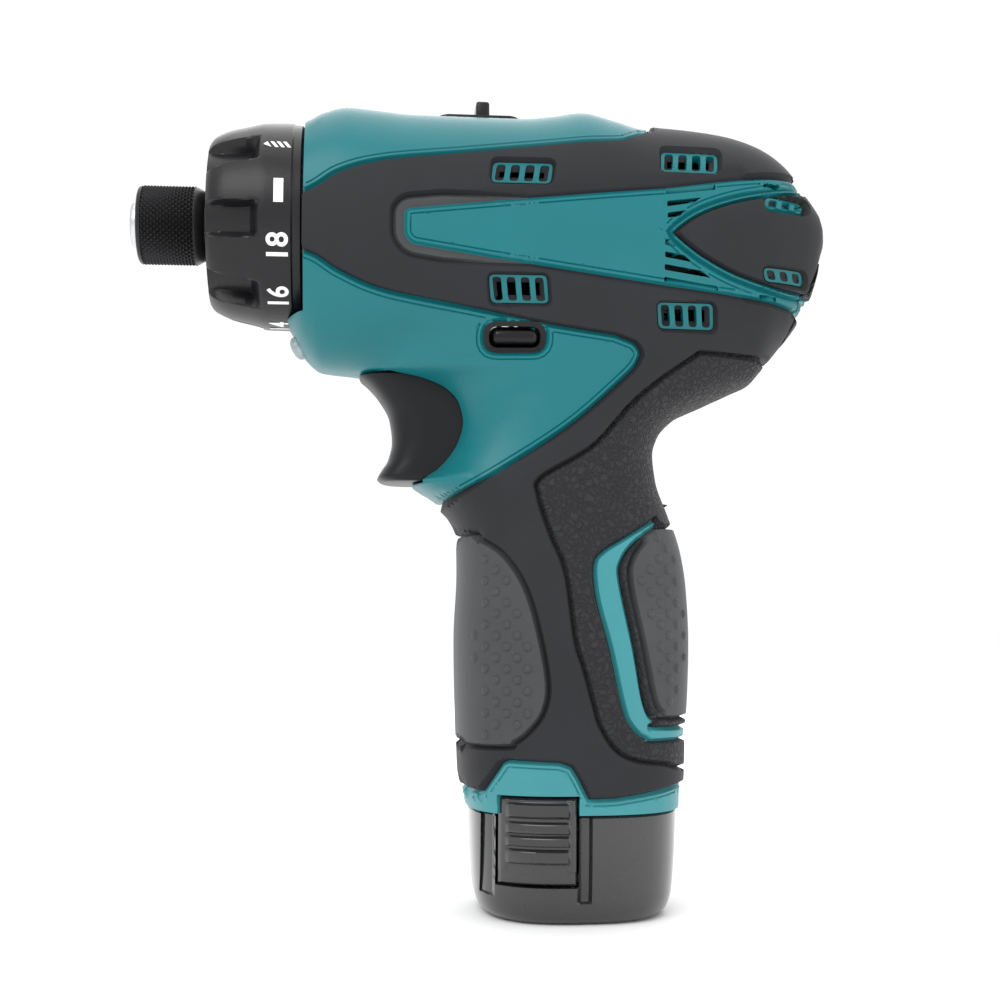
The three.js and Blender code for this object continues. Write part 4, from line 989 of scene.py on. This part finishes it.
def solid_box(name, low, high, material, bevel=0.4, segments=3):
    """A box with rounded edges, in millimetres."""
    work = bmesh.new()
    bmesh.ops.create_cube(work, size=1)
    size = (np.array(high) - np.array(low)) * MM
    middle = (np.array(high) + np.array(low)) / 2 * MM
    for v in work.verts:
        v.co = Vector([v.co[i] * size[i] + middle[i] for i in range(3)])
    if bevel:
        bmesh.ops.bevel(work, geom=work.edges[:], offset=bevel * MM, segments=segments, profile=0.5,
                        affect="EDGES")
    mesh = bpy.data.meshes.new(name)
    work.to_mesh(mesh)
    work.free()
    made = linked(name, mesh)
    smooth(mesh, 35)
    mesh.materials.append(material)
    return made


# ---- Body covers ----

# Each group: the material of each of its areas, its frame node, its material slot.
GROUPS = {
    # The stripe takes the lighter teal: painted light.
    "housing": ({"teal": teal, "panel": teal, "stripe": painted_light_teal, "tongue_rim": teal, "frame": teal,
                 "pad_frame": teal, "bezel": lever_black}, "housing", "teal_shell"),
    # The panel's bevel and both pads take the lighter rubber: painted light.
    "grip": ({"cover": rubber, "panel_bevel": painted_light_rubber, "leather": grained, "front_pad": painted_light_rubber,
              "rear_pad": painted_light_rubber}, "grip_cover", "soft_cover"),
    "rear": ({"tongue": rubber}, "rear_pad", "soft_cover"),
}
# Teal below this height, in millimetres, takes the lighter teal: painted light on the bottom of the body.
PAINTED_LIGHT_BAND_TOP = 40


def cover_pieces(side, label):
    """The three outer pieces of one side: shell, grip cover and rear pad."""
    holes = HOLES + [circle(at, SCREW_HOLE_R) for at in SCREWS if side == RIGHT]
    points, faces, area = side_surface(side, holes)
    # Painted light: the teal faces low on the body take the stripe's lighter teal.
    painted_light_band = (area == AREA_NAMES.index("teal")) & (points[faces][:, :, 2].mean(1) < PAINTED_LIGHT_BAND_TOP)
    area = np.where(painted_light_band, AREA_NAMES.index("stripe"), area)
    for group, (finishes, node, slot) in GROUPS.items():
        wanted = np.isin(area, [i for i, name in enumerate(AREA_NAMES) if name in finishes])
        own, tris = own_points(points, faces[wanted])
        piece = mesh_object(f"{group}_skin_{label}", own, tris, 40)
        materials = list(dict.fromkeys(finishes.values()))
        for material in materials:
            piece.data.materials.append(material)
        picks = [materials.index(finishes[AREA_NAMES[i]]) for i in area[wanted]]
        piece.data.polygons.foreach_set("material_index", picks)
        if group == "housing":
            cut_trigger_slot(piece.data)
        give_walls(piece.data, WALL_DEPTH)
        smooth(piece.data, 40)
        declare(piece, "body", f"{node}_{label}")


for side, label in SIDES:
    cover_pieces(side, label)


# ---- Dimples on the grip pads ----

def dome_template():
    """A low dome with few faces, standing on the XY plane, in metres."""
    radius, height, sides = 1.0 * MM, 0.44 * MM, 12
    points = []
    for r, h in ((1.0, -0.3), (0.86, 0.35), (0.5, 0.86)):
        for j in range(sides):
            angle = 2 * math.pi * j / sides
            points.append((radius * r * math.cos(angle), radius * r * math.sin(angle), height * h))
    points.append((0, 0, height))
    last = 2 * sides
    faces = ring_faces(3, sides)
    faces += [(last + j, last + (j + 1) % sides, last + sides) for j in range(sides)]
    return template("dome", points, faces)


def template(name, points, faces):
    mesh = bpy.data.meshes.new(name)
    mesh.from_pydata(points, [], faces)
    made = linked(name, mesh)
    return made


# Each dimpled pad: name, outline, height of its skin above the form.
DIMPLED_PADS = (("front", front_pad, 0.89), ("rear", rear_pad, 0.84))


def pad_points(outline, height, side):
    """Staggered points over a pad, with the surface's outward direction at each."""
    across, up = 3.9, 2.25
    spots = [((column + 0.5 * (row % 2)) * across - 24, 34 + row * up)
             for row in range(24) for column in range(13)]
    x, z = np.array(spots).T
    clear = inside(outline, x, z) & (distance_to(lines_of([outline]), x, z) > 2.3)
    clear &= body_field(x, np.full(len(x), 10.0), z) < 0
    x, z = x[clear], z[clear]
    y = half_thickness(body_field, x, z)
    normal = slope_of(body_field, x, y, z)
    normal /= np.linalg.norm(normal, axis=1)[:, None]
    facing = np.abs(normal[:, 1]) > 0.5
    x, y, z, normal = x[facing], y[facing], z[facing], normal[facing]
    points = np.stack([x, y, z], -1) + normal * height
    mirror = np.array([1, side, 1])
    return points * mirror, normal * mirror


# The dimples take the lighter rubber: painted light, like the pads.
dimple_tree = scatter_tree("pad_dimples", painted_light_rubber)
for side, label in SIDES:
    for pad_name, outline, height in DIMPLED_PADS:
        dome = dome_template()
        base = point_cloud("spots", *pad_points(outline, height, side))
        dimples = dimple_tree.grow(f"{pad_name}_pad_dimples_{label}", base, {"Bump": dome, "Size": 1.0})
        bpy.data.objects.remove(dome)
        declare(dimples, "body")


# ---- Screw wells on the right side ----

def well(outlines, bottom, material, name):
    """Short tubes going in from the surface, so that an opening has walls."""
    points, faces = [], []
    for outline, side in outlines:
        start, sides = len(points), len(outline)
        x, z = np.array(outline).T
        top = half_thickness(body_field, x, z) - 0.3
        for y in (top, np.full(sides, bottom)):
            points += list(np.stack([x, y * side, z], -1))
        for j in range(sides):
            n = (j + 1) % sides
            face = (start + j, start + n, start + sides + n, start + sides + j)
            faces.append(face if side == RIGHT else face[::-1])
    made = mesh_object(name, points, faces)
    made.data.materials.append(material)
    declare(made, "body")


well([(circle(spot, SCREW_HOLE_R, 24), RIGHT) for spot in SCREWS], 8.2, teal, "screw_wells")
well([(lever_hole, side) for side in (LEFT, RIGHT)], 2.0, inner_black, "lever_wells")


# ---- Torque ring ----

RING_GRIPS = 8
FIRST_GRIP = math.radians(9)
ring_outer = through([(ring_low[0], 17.7), (ring_low[0] + 0.5, 18.5), (ring_low[0] + 1.4, 19.3),
                      (ring_low[0] + 4, 20.5), (ring_low[0] + 8, 21.5), (ring_low[0] + 12.6, 22.42),
                      (ring_high[0] - 2.2, RING_R), (ring_high[0] - 1.9, RING_R - 0.3),
                      (ring_high[0] - 0.3, RING_R - 0.35), (ring_high[0], RING_R - 0.8)])


def ring_radius(x, r, angle):
    """The ring's radius, lowered in its grip notches."""
    if r < 16.6:
        return r
    step = 2 * math.pi / RING_GRIPS
    away = (angle - FIRST_GRIP + step / 2) % step - step / 2
    across = abs(away) * r
    side_wall = 1 - smoothstep((across - 3.0) / 0.9)
    back_wall = 1 - smoothstep((x - ring_low[0] - 9.0) / 2.4)
    floor = 17.4 + (x - ring_low[0]) * 0.1
    return r - max(0, r - floor) * side_wall * back_wall


def torque_ring():
    front, back = ring_low[0], ring_high[0]
    length = back - front
    along = [front + length * i / 52 for i in range(53)]
    outer = [(x, float(ring_outer(x))) for x in along]
    inner = [(back, 17.5), (back - 0.4, 16.5), (front + 2.4, 16.5), (front + 2.4, 9.7),
             (front + 0.9, 9.7), (front + 0.7, 10.2), (front + 1.1, 11.4), (front + 1.1, 14.6),
             (front + 0.2, 16.4), (front, 16.9)]
    made = turned("torque_ring_body", outer + inner, ring_black, 400, ring_radius, 30)
    declare(made, "torque_ring", "torque_ring")


torque_ring()

MARK_X = ring_low[0] + 15.3
MARK_R = RING_R + 0.05


def wrap(mesh, middle):
    """Bends a flat mark round the ring: its length along the ring, its height towards the bit."""
    work = bmesh.new()
    work.from_mesh(mesh)
    bmesh.ops.triangulate(work, faces=work.faces)
    for i in range(-12, 13):
        bmesh.ops.bisect_plane(work, geom=work.verts[:] + work.edges[:] + work.faces[:],
                               plane_co=(i * 0.4, 0, 0), plane_no=(1, 0, 0))
    for vert in work.verts:
        angle = middle + vert.co.x / MARK_R
        vert.co = Vector((MARK_X - vert.co.y, -MARK_R * math.cos(angle),
                          AXIS + MARK_R * math.sin(angle))) * MM
    work.to_mesh(mesh)
    work.free()
    return mesh


def number_mark(text):
    """A number as a flat mesh in millimetres, centred."""
    curve = bpy.data.curves.new("mark", "FONT")
    curve.body = text
    curve.size = 6.2
    curve.offset = 0.12
    curve.align_x, curve.align_y = "CENTER", "CENTER"
    holder = linked("mark", curve)
    shown = holder.evaluated_get(bpy.context.evaluated_depsgraph_get())
    mesh = bpy.data.meshes.new_from_object(shown)
    bpy.data.objects.remove(holder)
    return mesh


def flat_mark(outlines):
    mesh = bpy.data.meshes.new("mark")
    points = [(x, y, 0) for outline in outlines for x, y in outline]
    faces, start = [], 0
    for outline in outlines:
        faces.append(tuple(range(start, start + len(outline))))
        start += len(outline)
    mesh.from_pydata(points, [], faces)
    return mesh


def ring_marks():
    """Numbers two steps apart, a long bar at the top setting, and a small drill bit after it."""
    step = math.radians(30)
    top_setting = math.radians(6)
    bar = flat_mark([[(-2.6, -1), (2.6, -1), (2.6, 1), (-2.6, 1)]])
    flutes = [[(-1 + 0.2 * i, y - 0.8), (0.9, y + 0.25), (0.9, y + 1.0), (-1, y - 0.1)]
              for i, y in ((0, -1.6), (0, -0.3), (0, 1.0))]
    tip = [(-1, 1.7), (0.9, 2.6), (-0.05, 3.4)]
    meshes = [wrap(bar, top_setting), wrap(flat_mark(flutes + [tip]), top_setting + step)]
    for i, number in enumerate(range(18, 0, -2)):
        meshes.append(wrap(number_mark(str(number)), top_setting - step * (i + 1)))
    pieces = []
    for mesh in meshes:
        mesh.materials.clear()
        mesh.materials.append(white_print)
        piece = linked("mark", mesh)
        pieces.append(piece)
    marks = join("ring_marks", pieces)
    declare(marks, "torque_ring")


ring_marks()


# ---- Spindle and bit sleeve ----

HEX_HALF = 3.22


def spindle_radius(x, r, angle):
    """The bore is a hexagon; everything else is round."""
    if abs(r - HEX_HALF) > 1e-6:
        return r
    return r / math.cos((angle + math.pi / 6) % (math.pi / 3) - math.pi / 6)


def spindle():
    nose = spindle_low[0]
    profile = [(nose, 4.25), (nose + 0.12, 4.6), (nose + 0.45, 4.9), (nose + 0.9, 5), (nose + 38, 5),
               (nose + 41, 5), (nose + 41, 3.4), (spindle_high[0], 3.4), (spindle_high[0], 0),
               (nose + 25, 0), (nose + 25, HEX_HALF), (nose + 0.5, HEX_HALF), (nose + 0.1, 3.95)]
    made = turned("spindle_shaft", profile, steel, 96, spindle_radius, 30)
    declare(made, "spindle", "spindle")


def knurl():
    """Rows of small pyramids, each row half a step round from the last."""
    count, rows = 44, 17
    first, pitch = sleeve_low[0] + 1.35, 0.68
    radius = 8.2
    points, leans = [], []
    for row in range(rows):
        for i in range(count):
            angle = 2 * math.pi * (i + 0.5 * (row % 2)) / count
            lean = (0, math.cos(angle), math.sin(angle))
            points.append((first + row * pitch, radius * lean[1], AXIS + radius * lean[2]))
            leans.append(lean)
    half_x, half_y, height = 0.69 * MM, 0.61 * MM, 0.42 * MM
    corners = [(half_x, 0, -0.00004), (0, half_y, -0.00004), (-half_x, 0, -0.00004),
               (0, -half_y, -0.00004), (0, 0, height)]
    pyramid = template("pyramid", corners, [(0, 1, 4), (1, 2, 4), (2, 3, 4), (3, 0, 4)])
    tree = scatter_tree("diamond_knurl", black_oxide)
    made = tree.grow("sleeve_knurl", point_cloud("spots", points, leans), {"Bump": pyramid, "Size": 1.0})
    bpy.data.objects.remove(pyramid)
    made.data.shade_flat()
    declare(made, "bit_sleeve")


def bit_sleeve():
    front, rear = sleeve_low[0], sleeve_high[0]
    profile = [(front, 7.3), (front, 7.9), (front + 0.25, 8.3), (front + 0.7, 8.55), (front + 0.95, 8.5),
               (front + 1.05, 8.15), (rear - 2.5, 8.15), (rear - 2.4, 8.5), (rear - 2.1, 8.5),
               (rear - 0.4, 7.6), (rear, 7.3), (rear, 5.25), (front + 8, 5.25), (front + 8, 7.1),
               (front + 0.2, 7.1)]
    made = turned("bit_sleeve_body", profile, black_oxide, 96, None, 28)
    declare(made, "bit_sleeve", "bit_sleeve")
    knurl()


spindle()
bit_sleeve()


# ---- Trigger ----

def closed_rows(name, rows, material, angle_limit=40):
    """A closed skin over rows of points, each row a closed loop, with flat ends."""
    count = len(rows[0])
    points = [p for row in rows for p in row]
    faces = ring_faces(len(rows), count)
    faces.append(tuple(reversed(range(count))))
    faces.append(tuple(range((len(rows) - 1) * count, len(rows) * count)))
    made = mesh_object(name, points, faces, angle_limit)
    fix_normals(made.data)
    made.data.materials.append(material)
    return made


def trigger():
    low, high = trigger_low[2], trigger_high[2]
    half = trigger_high[1]
    front = through([(low, -42.4), (low + 0.8, -42.9), (low + 2.4, -42.2), (low + 5, -40.6),
                     (low + 9.2, -39.7), (low + 14, -40.3), (low + 18.8, -42.9), (low + 21.5, -45.3),
                     (high, -46.9)])
    levels = [(low, 0.9), (low + 0.12, 0.5), (low + 0.4, 0.2), (low + 0.9, 0)]
    levels += [(low + 0.9 + (high - low - 0.9) * i / 40, 0) for i in range(1, 41)]
    rows = []
    for z, inset in levels:
        nose = float(front(z)) + inset
        side = half - inset
        row = [(-23, -side, z)]
        for i in range(33):
            t = math.radians(-90 + 180 * i / 32)
            y = side * math.copysign(abs(math.sin(t)) ** (2 / 2.7), math.sin(t))
            row.append((nose + 7.5 * (1 - abs(math.cos(t)) ** (2 / 2.7)), y, z))
        row.append((-23, side, z))
        rows.append(row)
    made = closed_rows("trigger_button", rows, trigger_black)
    declare(made, "trigger", "trigger")


trigger()


# ---- Battery and its latches ----

BATTERY_SQUARENESS = 2.6
battery_half_x = (battery_high[0] - battery_low[0]) / 2
battery_half_y = battery_high[1]
battery_x = (battery_high[0] + battery_low[0]) / 2
battery_inset = through([(0, 5), (0.2, 4.1), (0.8, 3.0), (2.0, 2.0), (5, 1.15), (16, 0.3), (30, -0.1)])


def battery_half_thickness(x, z):
    """How far the battery's side is from the middle plane."""
    inset = battery_inset(z)
    part = np.clip(np.abs((x - battery_x) / (battery_half_x - inset)), 0, 1)
    return (battery_half_y - inset) * (1 - part ** BATTERY_SQUARENESS) ** (1 / BATTERY_SQUARENESS)


def window(x, z, low, high, soft=0.3):
    """1 inside a side-view rectangle and 0 outside, with a short slope between."""
    away = np.maximum(np.maximum(low[0] - x, x - high[0]), np.maximum(low[1] - z, z - high[1]))
    return 1 - smoothstep(away / soft)


def battery_relief(x, z):
    """How deep the battery's side is cut at each point."""
    tab = window(x, z, (latch_low[0] - 0.2, latch_low[2] - 0.2), (latch_high[0] + 0.2, 40)) * 4.2
    left = window(x, z, (latch_low[0] - 2.9, 5.6), (latch_low[0] - 0.9, 40)) * 1.5
    right = window(x, z, (latch_high[0] + 0.8, 5.0), (latch_high[0] + 2.6, 40)) * 1.5
    return np.maximum(np.maximum(tab, left), right)


def battery_case():
    sides = 480
    top = battery_high[2]
    levels = [0, 0.1, 0.3, 0.6, 1.0, 1.5, 2.1, 3, 4] + list(np.linspace(4.6, top - 0.4, 50)) + [top]
    turn = 2 * math.pi * np.arange(sides) / sides
    rows = []
    for z in levels:
        inset = float(battery_inset(z)) + (0.35 if z == top else 0)
        x = superellipse(turn, BATTERY_SQUARENESS) * (battery_half_x - inset)
        y = np.sign(np.cos(turn)) * np.abs(np.cos(turn)) ** (2 / BATTERY_SQUARENESS)
        y = y * (battery_half_y - inset)
        cut = battery_relief(x + battery_x, np.full(sides, z))
        y = np.sign(y) * np.maximum(np.abs(y) - cut, 0)
        rows.append([tuple(p) for p in np.stack([x + battery_x, y, np.full(sides, z)], -1)])
    made = closed_rows("battery_cup", rows, battery_black, 30)
    declare(made, "battery", "battery_case")


RIBS = ((23.4, 1.7), (19.9, 1.25), (17.2, 1.15), (14.1, 1.6))


def latch_tab(side, label):
    """A sprung tab with four finger ribs."""
    nx, nz = 52, 90
    x = np.linspace(latch_low[0], latch_high[0], nx)
    z = np.linspace(latch_low[2], latch_high[2], nz)
    gx, gz = (g.ravel() for g in np.meshgrid(x, z))
    rise = np.zeros(len(gx))
    inner = window(gx, gz, (latch_low[0] + 1.8, 0), (latch_high[0] - 1.8, 60), 0.5)
    for centre, half in RIBS:
        away = (gz - centre) / half
        rise = np.maximum(rise, inner * (1 - smoothstep((np.abs(away) - 0.62) / 0.38)) * (0.95 - away * 0.25))
    edge = np.minimum(np.minimum(gx - latch_low[0], latch_high[0] - gx),
                      np.minimum(gz - latch_low[2], latch_high[2] - gz))
    frame_lip = 0.35 * (1 - inner) * (gz > 11)
    rise = rise + frame_lip - 0.55 * (1 - smoothstep(edge / 0.5))
    y = side * (battery_half_thickness(gx, gz) + 0.1 + rise)
    faces = []
    for j in range(nz - 1):
        for i in range(nx - 1):
            a = j * nx + i
            face = (a, a + 1, a + nx + 1, a + nx)
            faces.append(face if side < 0 else face[::-1])
    made = mesh_object(f"latch_{label}", np.stack([gx, y, gz], -1), faces, 38)
    made.data.materials.append(battery_black)
    give_walls(made.data, WALL_DEPTH)
    smooth(made.data, 38)
    declare(made, f"latch_{label}", f"latch_tab_{label}")


battery_case()
for side, label in SIDES:
    latch_tab(side, label)


# ---- Lever, selector and lamp ----

def direction_lever():
    low = (lever_low[0] + 0.35, lever_low[1], lever_low[2] + 0.3)
    high = (lever_high[0] - 0.35, lever_high[1], lever_high[2] - 0.3)
    bar = solid_box("lever_bar", low, high, lever_black, 1.1, 4)
    declare(bar, "direction_lever", "direction_lever")


def speed_selector():
    """A thin arched slide with a thumb bar across it, and its stem."""
    low, high = selector_low, selector_high
    middle = (low[0] + high[0]) / 2
    half_x, half_y = (high[0] - low[0]) / 2, high[1]
    base = high[2] - 4.3
    rows = []
    for level in (0.0, 0.25, 1.0):
        row = []
        for x, y in rounded(rectangle((0, 0), 2 * half_x, 2 * half_y), 2.2, 6):
            shrink = 1 - 0.03 * (level == 1.0)
            arch = 1.2 * (1 - (x / half_x) ** 2) * (1 - 0.35 * (y / half_y) ** 2)
            row.append((middle + x * shrink, y * shrink, base + level * (0.5 + arch)))
        rows.append(row)
    plate = closed_rows("selector_plate", rows, ring_black)
    knob_x = low[0] + 10.2
    bar = solid_box("bar", (knob_x - 1.5, 1 - half_y, base + 0.6),
                    (knob_x + 1.5, half_y - 1, high[2]), ring_black, 0.6, 3)
    stem = solid_box("stem", (knob_x - 2, -1.6, low[2]), (knob_x + 2, 1.6, base + 0.6), inner_black, 0.2, 1)
    made = join("speed_slide", [plate, bar, stem])
    declare(made, "speed_selector", "speed_selector")


def lamp():
    """A small domed lens that looks forwards and down."""
    tilt = 0.5
    reach = np.array([math.cos(tilt), 0, math.sin(tilt)])
    up = np.array([-math.sin(tilt), 0, math.cos(tilt)])
    middle = (lens_low + lens_high) / 2 + reach * 1.3
    radius = lens_high[1] - 0.4
    profile = [(-2.3, 0), (-2.25, 0.4), (-2.0, 0.7), (-1.6, 0.88), (-1.2, 0.97), (-0.9, 1), (1.4, 1),
               (1.4, 0)]
    sides = 40
    points = []
    for s, r in profile:
        for j in range(sides):
            angle = 2 * math.pi * j / sides
            ring = np.array([0, 1, 0]) * math.cos(angle) + up * math.sin(angle)
            points.append(tuple(middle + reach * s + ring * r * radius))
    made = mesh_object("lamp_dome", points, ring_faces(len(profile), sides))
    fix_normals(made.data)
    made.data.materials.append(lens)
    declare(made, "body", "lamp_lens")


direction_lever()
speed_selector()
lamp()


# ---- Studio ----

def studio():
    world = bpy.data.worlds.new("studio")
    bpy.context.scene.world = world
    world.use_nodes = True
    background = world.node_tree.nodes["Background"]
    background.inputs[0].default_value = (1, 1, 1, 1)
    background.inputs[1].default_value = 1.06
    size = 8.0
    mesh = bpy.data.meshes.new("floor")
    corners = [(-size, -size, 0), (size, -size, 0), (size, size, 0), (-size, size, 0)]
    mesh.from_pydata(corners, [], [(0, 1, 2, 3)])
    floor = linked("floor", mesh)
    paper = Finish("pale_floor")
    cloud = paper.noise(3, 2)
    paper.set(Base_Color=paper.tint(cloud, (0.94, 0.94, 0.94), (0.97, 0.97, 0.97)), Roughness=0.8)
    mesh.materials.append(paper.material)


def softbox(name, position, target, size, power):
    light = bpy.data.lights.new(name, "AREA")
    light.shape = "RECTANGLE"
    light.size, light.size_y = size
    light.energy = power
    made = linked(name, light)
    made.location = position
    made.rotation_euler = (Vector(target) - Vector(position)).to_track_quat("-Z", "Y").to_euler()


def camera():
    """Looks at the left side, from a little towards the bit and a little below the middle."""
    yaw, pitch = math.radians(5.529), math.radians(4.449)
    data = bpy.data.cameras.new("camera")
    data.sensor_width = 36
    data.lens = 54.845
    made = linked("camera", data)
    made.location = (-0.04811, -0.3332, 0.0623)
    forward = Vector((math.sin(yaw) * math.cos(pitch), math.cos(yaw) * math.cos(pitch), math.sin(pitch)))
    made.rotation_euler = forward.to_track_quat("-Z", "Y").to_euler()
    bpy.context.scene.camera = made


studio()
centre = (0, 0, 0.09)
softbox("key", (-0.45, -0.7, 0.75), centre, (0.7, 0.5), 4)
softbox("fill", (0.7, -0.55, 0.3), centre, (0.6, 0.6), 1)
softbox("top", (0.05, 0.1, 0.8), centre, (0.8, 0.8), 2)
softbox("back", (0.1, 0.7, 0.5), centre, (0.8, 0.6), 2)
camera()
bpy.context.scene.view_settings.view_transform = "Standard"
